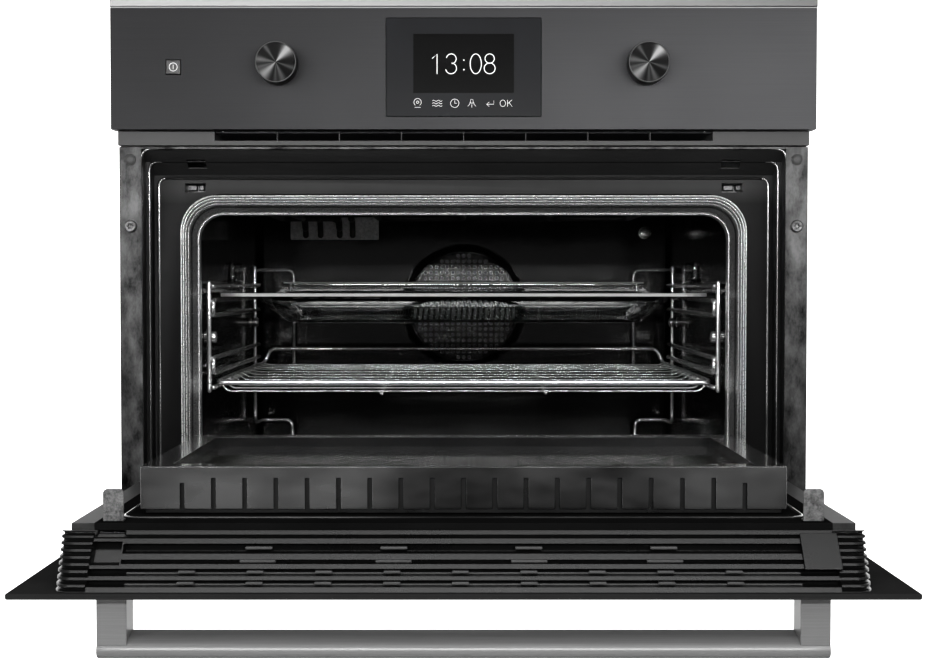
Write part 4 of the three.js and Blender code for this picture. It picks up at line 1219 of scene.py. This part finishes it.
class OVEN_OT_fan(OvenOperator, bpy.types.Operator):
    """Pressed fan cover with its round of holes, the fan, heating rods, bracket and probe"""

    bl_idname = "oven.fan"
    bl_label = "Fan and heaters"

    def make(self, looks, sizes):
        self.cover(sizes.hole_rows, sizes.hole_radius)
        self.ring()
        self.grill()
        self.bracket()
        self.probe()
        dress(zinc(), "convection_fan", "fan_motor")

    def cover(self, rows, hole):
        """Square cells, each from a round hole out to its own edge, with every point drawn in to the
        disc's radius; a cone down to the plate; and a plate ruled from the cone's foot to its edges,
        pressed forward by a smooth step about the fan."""
        low, high = spot("fan_cover")
        z0 = spot("ring_element")[0][2] + RING_RADIUS + ROD
        disc, foot, face = 62.0, 72.0, low[1]
        back = high[1] - 1.2
        pitch = np.array([6.3, 6.5])
        index = np.arange(rows) - (rows - 1) / 2
        cells = np.stack(np.meshgrid(index, index), axis=-1).reshape(-1, 2) * pitch
        distance = np.linalg.norm(cells, axis=1)
        cells, distance = cells[distance < disc + 5], distance[distance < disc + 5]
        a = np.linspace(0, TURN, 17)
        ray = np.stack([np.cos(a), np.sin(a)], axis=-1)
        square = ray / np.max(np.abs(ray), axis=1, keepdims=True) * pitch / 2
        pierced = distance < 59.5
        inner = cells[:, None] + np.where(pierced[:, None, None], ray * hole, 0.0)
        sides = np.stack([inner, cells[:, None] + square], axis=1)
        reach = np.linalg.norm(sides, axis=-1, keepdims=True)
        sides = sides * np.minimum(1, disc / np.maximum(reach, 1e-6))
        plate = Surface()
        for cell in sides:
            points = np.stack([cell[..., 0], np.full(cell.shape[:2], face), cell[..., 1] + z0], axis=-1)
            plate.sheet(points)
        bend = np.linspace(0, 1, 8)
        fall = (1 - np.cos(bend * math.pi)) / 2
        cone = np.stack([disc + (foot - disc) * bend, face + (back - face) * fall], axis=-1)
        points, _ = revolve(cone, (0, 0, z0), "y", 128)
        plate.sheet(points)
        angle = np.linspace(0, TURN, 257)
        circle = np.stack([np.cos(angle), np.sin(angle)], axis=-1)
        room = np.where(circle > 0, [high[0], high[2] - z0], [-low[0], z0 - low[2]])
        edge = circle * np.min(room / np.maximum(np.abs(circle), 1e-6), axis=1, keepdims=True)
        part = np.linspace(0, 1, 40)[:, None, None] ** 1.3
        flat = circle * foot * (1 - part) + edge * part
        bulge = np.abs(flat / (117, 104)) ** 5
        push = 0.6 / (1 + np.exp((bulge.sum(-1) - 1) * 4))
        push -= push[:1]
        points = np.stack([flat[..., 0], back - push, flat[..., 1] + z0], axis=-1)
        plate.sheet(points)
        made = plate.build("fan_plate", enamel(), "housing", "enamel", ["fan_cover"], 50, 2e-5)
        wall = made.modifiers.new("wall", "SOLIDIFY")
        wall.thickness = 0.0009
        wall.offset = 0
        self.rims(cells[pierced], hole, face, z0)

    def rims(self, centres, hole, face, z0):
        """The drawn lip of each hole: half of a small torus, open at the back."""
        a = np.linspace(0, TURN, 15)
        b = np.linspace(-math.pi / 2, math.pi / 2, 4)
        radius = hole + 0.12 + 0.35 * np.sin(b)[:, None]
        ring = np.stack([radius * np.cos(a), np.broadcast_to(-0.45 * np.cos(b)[:, None], (4, 15))], axis=-1)
        made = Surface()
        for x, z in centres:
            place = (x + ring[..., 0], face - 0.5 + ring[..., 1], z0 + z + radius * np.sin(a))
            points = np.stack(place, axis=-1)
            made.sheet(points)
        made.build("fan_rims", painted_rim_glint(), "housing", "enamel")

    def ring(self):
        low, high = spot("ring_element")
        z0, y = low[2] + RING_RADIUS + ROD, low[1] + 5.2
        a = np.linspace(0, TURN, 72, endpoint=False)
        loop = np.stack([RING_RADIUS * np.cos(a), np.full(len(a), y), z0 + RING_RADIUS * np.sin(a)], axis=-1)
        made = Surface().sheet(tube(loop, ROD, 14, closed=True), wrap_rows=True, wrap_columns=True)
        for x in (-14, 14):
            tail = [(x, y, z0 + 82.8), (x, high[1] - 1, z0 + 82.8)]
            made.sheet(tube(tail, 3.1, 12), wrap_columns=True)
        made.build("ring_rod", heater_sheath(), "housing", "heater_steel", ["ring_element"])

    def grill(self):
        """The grill rod: one bent bar that leaves the wall, climbs to the ceiling and runs there in loops."""
        z, entry, wall = 288, 277, 482.6
        path = [(-182, wall, entry), (-182, 474, entry), (-182, 462, z), (-182, 130, z)]
        for x, y in ((-95, 130), (-95, 440), (0, 440), (0, 130), (95, 130), (95, 440)):
            path.append((x, y, z))
        path += [(185, 440, z), (185, 112, z), (-205, 112, z), (-205, 452, z)]
        path += [(-143, 456, z), (-143, 470, entry), (-143, wall, entry)]
        made = tubes([bent(path, 16)], 3.1, 14)
        made.build("grill_rod", heater_sheath(), "housing", "heater_steel", ["grill_element"])

    def bracket(self):
        """A bright plate with round screws, and dark sleeves for the rod's legs."""
        low, high = spot("grill_bracket")
        block = cushion_box((low[0], 483, low[2]), (high[0], 486, high[2]), 0.8)
        plate = Surface().sheet(block, wrap_columns=True)
        for x in (-194, -149, -110):
            profile = [(0, 480.6), (2.4, 480.7), (3.7, 481.4), (4, 482.4), (4, 483.4), (0, 483.4)]
            points, _ = revolve(profile, (x, 0, 272), "y", 28)
            plate.sheet(points)
        plate.build("grill_plate", bracket_steel(), "housing", "chrome_wire", ["grill_bracket"])
        legs = []
        for x in (-182, -165, -143, -128):
            legs.append(bent([(x, 452, 288), (x, 472, 288), (x, 479, 281), (x, 481.2, 270)], 8))
        sleeves = tubes(legs, 3.3, 14)
        sleeves.build("grill_sleeves", heater_sheath(), "housing", "heater_steel")

    def probe(self):
        low, high = spot("temperature_probe")
        x, z = (low[0] + high[0]) / 2, (low[2] + high[2]) / 2
        a = np.linspace(0, math.pi / 2, 8)
        dome = np.stack([6.4 * np.sin(a), low[1] + 2.4 * (1 - np.cos(a))], axis=-1)
        rest = [(7.2, low[1] + 2.6), (7.2, high[1]), (0, high[1])]
        points, _ = revolve(np.concatenate([dome, rest]), (x, 0, z), "y", 40)
        made = Surface().sheet(points)
        made.build("probe_head", chrome(), "housing", "chrome_wire", ["temperature_probe"])


class OVEN_OT_racks(OvenOperator, bpy.types.Operator):
    """The wire racks on the side walls"""

    bl_idname = "oven.racks"
    bl_label = "Side racks"

    def make(self, looks, sizes):
        for name, side in (("left", -1), ("right", 1)):
            self.rack(name, side)

    def rack(self, name, side):
        """Guides, with the middle ones bent into long hairpins so that the ways of the shelf and the tray
        stay open in front; uprights, arm and foot hold them."""
        x, out = side * GUIDE_X, side * POST_X
        tip, end = 92.5, 408.5
        front, rear = 95, 406
        paths = []
        for lower, upper in ((120.5, 120.5), (133.5, 147.5), (186, 199.5), (212.5, 212.5)):
            if lower == upper:
                paths.append([(x, tip, lower), (x, end, lower)])
                continue
            turn = tip + 0.1
            paths.append(bent([(x, end, lower), (x, turn, lower), (x, turn, upper), (x, end, upper)], 6.4))
        paths.append([(out, front, 117.5), (out, front, 215.5)])
        foot = [(out, rear, 232.5), (out, rear, 60), (out, 470, 58)]
        foot += [(side * 197, 470, 58), (side * 197, 470, 34.5)]
        arm = [(out, rear, 230), (out, 462, 230), (side * 196, 480, 230), (side * 196, 480, 122)]
        rack = tubes([*paths, bent(foot, 9)], 2.2, 12)
        rack.sheet(tube(bent(arm, 9), 2.2, 12), wrap_columns=True)
        wall = 236.5
        for y, z, post in ((104, 166, front), (396, 172, rear)):
            profile = [(0, 225.2), (3.8, 225.4), (5.2, 226.4), (5.4, 227.4), (5.4, 230.2), (3.4, 230.6)]
            profile += [(3.4, 233.4), (5.4, 234), (5.4, wall), (0, wall)]
            points, _ = revolve([(r, side * d) for r, d in profile], (0, y, z), "x", 32)
            rack.sheet(points)
            near, far = sorted((side * (POST_X - 1.2), side * (POST_X + 1.2)))
            tab = cushion_box((near, min(y, post), z - 4), (far, max(y, post), z + 4), 0.7)
            rack.sheet(tab, wrap_columns=True)
        rack.build("rack_wires_" + name, chrome(), "housing", "chrome_wire", ["side_rack_" + name], 50)


class OVEN_OT_tray(OvenOperator, bpy.types.Operator):
    """The deep glass tray"""

    bl_idname = "oven.tray"
    bl_label = "Glass tray"

    def make(self, looks, sizes):
        """Round-cornered rings from the middle of the inside, up its wall, over the rim and back under."""
        low, high = spot("glass_tray")
        centre = ((low[0] + high[0]) / 2, (low[1] + high[1]) / 2)
        rim, bottom = low[2] + 28.9, low[2]
        bends = [(10 * math.sin(a), math.cos(a)) for a in np.linspace(0, math.pi / 2, 6)]
        profile = [(0.0, 0.0, 4, bottom + 4)]
        profile += [(157 + out, 107 + out, 26, bottom + 5.5 - 1.5 * up) for out, up in bends]
        profile += [(191, 141, 33, rim - 3), (193.5, 143.5, 34, rim - 0.6), (196, 146, 35, rim)]
        profile += [(224, 167.5, 26, rim), (226, 169.5, 26, rim - 0.9), (226.5, 170, 26, rim - 2)]
        profile += [(226, 169.5, 26, rim - 3.3), (224, 167.5, 26, rim - 4)]
        profile += [(198, 148, 36, rim - 4), (195, 145, 36, rim - 5.5)]
        profile += [(161 + out, 111 + out, 28, bottom + 2 - 2 * up) for out, up in bends[::-1]]
        profile += [(0.0, 0.0, 4, bottom)]
        levels = []
        for hx, hy, r, z in profile:
            half = (max(hx, 0.02), max(hy, 0.02))
            levels.append((centre, half, min(r, half[0] * 0.98, half[1] * 0.98), lying(z)))
        tray = Surface().sheet(lofted(levels, 12), wrap_columns=True)
        lip = cushion_box((-206, 437.8, rim - 0.5), (206, 440, high[2]), 1.0, 0, 5, 5)
        tray.sheet(lip, wrap_columns=True)
        tray.build("tray_glass", clear_glass(), "tray", "clear_glass", ["glass_tray"], 50)
        # Pale bands along the front rim and the back lip: painted highlights of the rims.
        edges = Surface()
        x = np.linspace(-223, 223, 61)
        bow = 26 - np.sqrt(26.0**2 - np.maximum(np.abs(x) - 200.5, 0) ** 2)
        y = 99.95 + np.stack([bow + 0.6, bow, bow, bow + 0.6])
        z = np.broadcast_to(rim - np.array([[3.4], [3.2], [0.6], [0.4]]), y.shape)
        edges.sheet(np.stack([np.broadcast_to(x, y.shape), y, z], axis=-1), wrap_rows=True)
        back = cushion_box((-203, 437.7, high[2] - 1.3), (203, 440.05, high[2] + 0.05), 0.5, 2, 4)
        edges.sheet(back, wrap_columns=True)
        edges.build("tray_edges", ground_glass(), "tray", "clear_glass")


class OVEN_OT_shelf(OvenOperator, bpy.types.Operator):
    """The wire shelf"""

    bl_idname = "oven.shelf"
    bl_label = "Wire shelf"

    def make(self, looks, sizes):
        """A bent outer frame with a raised back bar, close cross wires, and two runners below."""
        low, high = spot("wire_shelf")
        side = high[0] - 2.4
        z = 125.4
        front, back = low[1] + 2.3, high[1] - 2.6
        outline = [(0, front, z - 1), (-side + 3, front, z - 1), (-side, front + 7, z)]
        outline += [(-side, back - 1, z), (-217, back, 141), (217, back, 141), (side, back - 1, z)]
        outline += [(side, front + 7, z), (side - 3, front, z - 1), (0, front, z - 1)]
        bars = tubes([bent(outline, 6)], 2.35, 14)
        bottom = z - 9
        part = np.linspace(0, 1, sizes.shelf_wires)
        drop = np.clip(1 - part / 0.7, 0, 1) ** 0.8
        for y, deck in zip(front + 5 + (back - front - 14) * part, z - 2.2 + (bottom - z + 2.2) * drop):
            reach = side - 1.6
            wire = [(-reach, y, z - 0.8), (-reach + 7, y, deck), (reach - 7, y, deck), (reach, y, z - 0.8)]
            bars.sheet(tube(bent(wire, 4), 0.85, 10), wrap_columns=True)
        for x in (-75, 75):
            level = front + (back - front) * 0.7
            runner = [(x, front, bottom - 1.6), (x, level, z - 4), (x, back - 6, z - 4)]
            bars.sheet(tube(runner, 1.6, 10), wrap_columns=True)
        bars.build("shelf_wires", chrome(), "shelf", "chrome_wire", ["wire_shelf"], 50)


# ---- Door ------------------------------------------------------------------------------------------


class OVEN_OT_door(OvenOperator, bpy.types.Operator):
    """Outer glass, inner plate, slotted frame, window, tongues and hinge arms"""

    bl_idname = "oven.door"
    bl_label = "Door"

    def make(self, looks, sizes):
        low, high = spot("door_outer_glass")
        skin = Surface().sheet(cushion_box(low, high, 1.1, 2, 8), wrap_columns=True)
        skin.build("outer_glass", door_glass(), "door", "black_glass", ["door_outer_glass"])
        softened("door_plate", "inner_plate", plate_steel(), sizes.edge)
        softened("choke_box", "slotted_frame", choke_steel(), 0.55, 3)
        low, high = spot("door_inner_glass")
        window = Surface().sheet(cushion_box(low, high, 0.8, 2, 5), wrap_columns=True)
        window.build("window_glass", black_glass(), "door", "black_glass", ["door_inner_glass"])
        dress(clear_glass(), "door_middle_glass")
        box = spot("choke_box")
        # Painted shade: black walls just inside the slotted frame's faces keep what shows through the slots
        # dark.
        cell = Surface()
        for y in (box[0][1] + 3.2, box[1][1] - 3.8):
            low_corner = (box[0][0] + 3, y, box[0][2] + 0.6)
            wall = cushion_box(low_corner, (box[1][0] - 3, y + 0.6, box[1][2] - 2.5), 0.2)
            cell.sheet(wall, wrap_columns=True)
        for x in (box[0][0] + 3.2, box[1][0] - 3.8):
            low_corner = (x, box[0][1] + 3, box[0][2] + 0.6)
            wall = cushion_box(low_corner, (x + 0.6, box[1][1] - 3, box[1][2] - 2.5), 0.2)
            cell.sheet(wall, wrap_columns=True)
        cell.build("choke_painted_shade", black_plastic(), "door", "seal")
        step = Surface()
        plate = spot("door_plate")[1][2]
        ring = round_ring((0, -134), (234.6, 121), 14, 8)
        rod = tube(lying(plate - 0.5)(ring), 1.3, 10, closed=True)
        step.sheet(rod, wrap_rows=True, wrap_columns=True)
        step.build("plate_step", choke_steel(), "door", "satin_steel")
        bead = Surface()
        half = (box[1] - box[0])[:2] / 2 - 1.5
        ring = round_ring((0, (box[0][1] + box[1][1]) / 2), half, 7, 8)
        rod = tube(lying(box[1][2] - 1.3)(ring), 1.25, 12, closed=True)
        bead.sheet(rod, wrap_rows=True, wrap_columns=True)
        bead.build("door_beads", satin_bead(), "door", "satin_steel")
        for side in ("left", "right"):
            softened("latch_tongue_" + side, "tongue_" + side, tongue_steel(), 0.35)
            softened("hinge_arm_" + side, "door_arm_" + side, zinc(), 0.4)


class OVEN_OT_trim(OvenOperator, bpy.types.Operator):
    """The louvred moulding along the door's free edge, with its pocket and clip"""

    bl_idname = "oven.trim"
    bl_label = "Door moulding"

    def make(self, looks, sizes):
        """A leaning face carried round the two ends, sunk by a pattern of ribs: close ribs at the ends, and
        broad ones with vents between them in the middle, with a pocket and a cut-out let into the left."""
        low, high = spot("door_trim")
        self.low, self.high = low, high
        z = np.linspace(low[2], high[2], 150)
        end = 258.5 + 10 * np.sin(np.linspace(0, math.pi / 2, 10))
        left = np.concatenate([[-268.5], -end[::-1], np.linspace(-258, -214, 60)])
        right = -left[::-1]
        x = np.concatenate([left, np.linspace(-210, 210, 40), right])
        lean = self.lean(z)[:, None]
        away = np.clip((np.abs(x) - 258.5) / 10, 0, 1)
        fullness = np.sqrt(1 - away**2)
        sunk = self.sunk(x[None], z[:, None])
        y = high[1] + (lean - high[1]) * (0.5 + 0.5 * fullness)[None] + sunk * fullness[None]
        y[:, [0, -1]] = high[1]
        xs = x[None] - np.sign(x)[None] * sunk * away[None] * 0.45
        grid = np.stack(np.broadcast_arrays(xs, np.minimum(y, high[1]), z[:, None]), axis=-1)
        back = grid * (1, 0, 1) + (0, high[1], 0)
        made = Surface().sheet(grid)
        for row in (0, -1):
            made.sheet(np.stack([grid[row], back[row]]))
        made.sheet(back[:, [0, -1]])
        made.build("louvred_trim", black_plastic(), "door", "black_plastic", ["door_trim"], 30)
        self.webs()
        softened("door_trim_clip", "trim_clip", black_plastic(), 0.5)

    def lean(self, z):
        """The leaning face's depth at a height."""
        return self.low[1] + (z - self.low[2]) / (self.high[2] - self.low[2]) * (TRIM_HEAD_Y - self.low[1])

    def sunk(self, x, z):
        """How far a place is sunk below the leaning face: the deeper of the ribs and the pockets."""

        def band(value, start, stop, soft=0.25):
            rise = np.clip((value - start) / soft + 0.5, 0, 1)
            return rise * (1 - np.clip((value - stop) / soft + 0.5, 0, 1))

        end = np.clip((np.abs(x) - 246.5) / 0.4 + 0.5, 0, 1)
        fine = 3.4 * np.clip(0.5 + 1.6 * np.cos(TURN * (z - 18.2 - 2.1) / 4.03), 0, 1)
        middle = np.zeros(np.broadcast(x, z).shape)
        vents = ((17.7, 21.2, 7), (23.9, 27.8, 7), (30.8, 33.1, 4), (36.9, 42.2, 7), (45.6, 47.6, 3))
        for start, stop, depth in vents:
            middle = np.maximum(middle, depth * band(z, start, stop))
        pocket = 8 * band(x, -246, -227) * band(z, 30.2, 43.4)
        cut = 3.2 * band(x, -244.5, -226) * band(z, 45.6, 49.9)
        rim = band(x, -247.2, -225.6) * band(z, 28.9, 44.6)
        sunk = fine * end + middle * (1 - end) * (1 - rim)
        return np.maximum(np.maximum(sunk, pocket), cut)

    def webs(self):
        """Short bridges across the vents, and the paler liner seen through the two lowest."""
        webs = Surface()
        for z, reach, step, start, count in (
            (39.6, 9.0, 89.7, -136, 4),
            (32.0, 12.0, 89.7, -136, 4),
            (25.8, 5.6, 45, -182, 9),
            (19.4, 5.6, 45, -182, 9),
        ):
            y = self.lean(np.array(z))
            for i in range(count):
                x = start + step * i
                block = cushion_box((x - reach, y + 1.3, z - 0.9), (x + reach, y + 5.5, z + 0.9), 0.4)
                webs.sheet(block, wrap_columns=True)
        for z, deep in ((24.6, 4.6), (18.3, 4.2)):
            y = self.lean(np.array(z)) + deep
            strip = cushion_box((-222, y, z - 0.5), (222, y + 2, z + 0.7), 0.3)
            webs.sheet(strip, wrap_columns=True)
        webs.build("trim_webs", grey_plastic(), "door", "grey_plastic")


class OVEN_OT_handle(OvenOperator, bpy.types.Operator):
    """The bar handle and its posts"""

    bl_idname = "oven.handle"
    bl_label = "Handle"

    def make(self, looks, sizes):
        self.rail()
        for side in ("left", "right"):
            softened("handle_post_" + side, "handle_stand_" + side, silver(), 0.9, 4)

    def rail(self):
        """The bar: a bowed wedge section, nearly flat behind and rounded over its front, run straight
        between the posts and closed at both ends."""
        low, high = spot("handle_bar")
        deep, tall = (high - low)[1:]
        a = np.linspace(math.pi / 2, -math.pi / 2, 24)
        y = high[1] - deep * np.cos(a) ** 0.6
        z = low[2] + tall * (0.5 + 0.5 * np.sin(a)) ** 1.25
        section = np.concatenate([np.stack([y, z], axis=-1), [[high[1], low[2]]]])
        x = np.concatenate([[low[0]] * 2, np.linspace(low[0] + 0.3, high[0] - 0.3, 24), [high[0]] * 2])
        size = np.concatenate([[0, 0.97], np.ones(24), [0.97, 0]])
        centre = section.mean(0)
        rows = centre + (section[None] - centre) * size[:, None, None]
        grid = np.concatenate([np.broadcast_to(x[:, None, None], (*rows.shape[:2], 1)), rows], axis=-1)
        bar = Surface().sheet(grid, wrap_columns=True)
        bar.build("handle_rail", silver(), "door", "silver_trim", ["handle_bar"], 40)


class OVEN_OT_works(OvenOperator, bpy.types.Operator):
    """Finishes of the pieces inside that keep their own shape"""

    bl_idname = "oven.works"
    bl_label = "Inner works"

    def make(self, looks, sizes):
        dress(zinc(), "air_duct", "component_shelf", "magnetron", "cooling_fan", "cooling_fan_motor")
        dress(zinc(), "hinge_receiver_left", "hinge_receiver_right")
        dress(heater_sheath(), "transformer")
        dress(black_plastic(), "latch_switch_left", "latch_switch_right")


# ---- Stage -----------------------------------------------------------------------------------------


class OVEN_OT_stage(OvenOperator, bpy.types.Operator):
    """Pale floor, soft lights and the camera"""

    bl_idname = "oven.stage"
    bl_label = "Stage"

    def make(self, looks, sizes):
        self.floor(looks.floor_drop)
        self.surround(looks.sky)
        self.lamp("key", (1.6, -1.8, 1.1), (0, 0.0, 0.3), (0.8, 1.4), 9)
        self.lamp("strip", (-1.3, -1.7, 0.5), (0, -0.1, 0.2), (0.16, 1.5), 6)
        self.lamp("top", (0.0, -1.4, 1.8), (0, -0.3, 0.1), (1.8, 0.4), 9)
        self.lamp("inner", (0.0, -1.78, 0.44), (0, 0.1, 0.15), (1.8, 0.04), 13)
        self.camera()

    def floor(self, drop):
        """A floor that rises behind into a wall: flat, a quarter circle, then upright."""
        a = np.linspace(-math.pi / 2, 0, 20)
        run = [(-12, 0)] + [(4 + 2 * math.cos(k), 2 + 2 * math.sin(k)) for k in a] + [(6, 8)]
        run = np.array(run)
        x = np.linspace(-12, 12, 3)
        points = np.stack(np.broadcast_arrays(x[None], run[:, :1], run[:, 1:] - drop), axis=-1)
        mesh = bpy.data.meshes.new("studio_floor")
        index = np.arange(points.shape[0] * 3).reshape(-1, 3)
        quads = np.stack([index[:-1, :-1], index[:-1, 1:], index[1:, 1:], index[1:, :-1]], axis=-1)
        mesh.from_pydata(points.reshape(-1, 3).tolist(), [], quads.reshape(-1, 4).tolist())
        mesh.polygons.foreach_set("use_smooth", np.ones(len(mesh.polygons), dtype=bool))
        mesh.materials.append(pale_floor())
        floor = bpy.data.objects.new("studio_floor", mesh)
        bpy.context.scene.collection.objects.link(floor)

    def surround(self, colour):
        world = bpy.data.worlds.new("studio")
        world.use_nodes = True
        back = world.node_tree.nodes["Background"]
        back.inputs["Color"].default_value = (*colour, 1)
        back.inputs["Strength"].default_value = 0.22
        bpy.context.scene.world = world
        bpy.context.scene.view_settings.view_transform = "Standard"
        bpy.context.scene.view_settings.look = "Medium High Contrast"

    def lamp(self, name, place, aim, size, power):
        light = bpy.data.lights.new(name, "AREA")
        light.shape = "RECTANGLE"
        light.size, light.size_y = size
        light.energy = power
        lamp = bpy.data.objects.new(name, light)
        lamp.location = place
        direction = lamp.location.copy()
        direction.x, direction.y, direction.z = (aim[i] - place[i] for i in range(3))
        lamp.rotation_mode = "QUATERNION"
        lamp.rotation_quaternion = direction.to_track_quat("-Z", "Y")
        bpy.context.scene.collection.objects.link(lamp)

    def camera(self):
        """Stands in front of the middle at about half the oven's height, tipped down a little."""
        lens = bpy.data.cameras.new("camera")
        lens.sensor_width = 36
        lens.lens = 60.52
        lens.clip_start = 0.05
        camera = bpy.data.objects.new("camera", lens)
        camera.location = (0.0003, FRONT * 0.001 - 1.32, 0.2163)
        camera.rotation_euler = (math.radians(90 - 1.744), 0, 0)
        bpy.context.scene.collection.objects.link(camera)
        bpy.context.scene.camera = camera


ORDER = (
    OVEN_OT_stage,
    OVEN_OT_casing,
    OVEN_OT_front,
    OVEN_OT_fascia,
    OVEN_OT_display,
    OVEN_OT_controls,
    OVEN_OT_cavity,
    OVEN_OT_fan,
    OVEN_OT_racks,
    OVEN_OT_tray,
    OVEN_OT_shelf,
    OVEN_OT_door,
    OVEN_OT_trim,
    OVEN_OT_handle,
    OVEN_OT_works,
)


class OVEN_PT_panel(bpy.types.Panel):
    """Lists the oven's settings and pieces"""

    bl_idname = "OVEN_PT_panel"
    bl_label = "Compact Wall Oven"
    bl_space_type = "VIEW_3D"
    bl_region_type = "UI"
    bl_category = "Oven"

    def draw(self, context):
        for group in (context.scene.oven_looks, context.scene.oven_sizes):
            for name in group.__annotations__:
                self.layout.prop(group, name)
        for operator in ORDER:
            self.layout.operator(operator.bl_idname)


CLASSES = (OvenLooks, OvenSizes, *ORDER, OVEN_PT_panel)


def register():
    for each in CLASSES:
        bpy.utils.register_class(each)
    bpy.types.Scene.oven_looks = PointerProperty(type=OvenLooks)
    bpy.types.Scene.oven_sizes = PointerProperty(type=OvenSizes)


def unregister():
    del bpy.types.Scene.oven_sizes
    del bpy.types.Scene.oven_looks
    for each in reversed(CLASSES):
        bpy.utils.unregister_class(each)


def main():
    register()
    for operator in ORDER:
        getattr(bpy.ops.oven, operator.bl_idname.split(".")[1])()


if __name__ == "__main__":
    main()
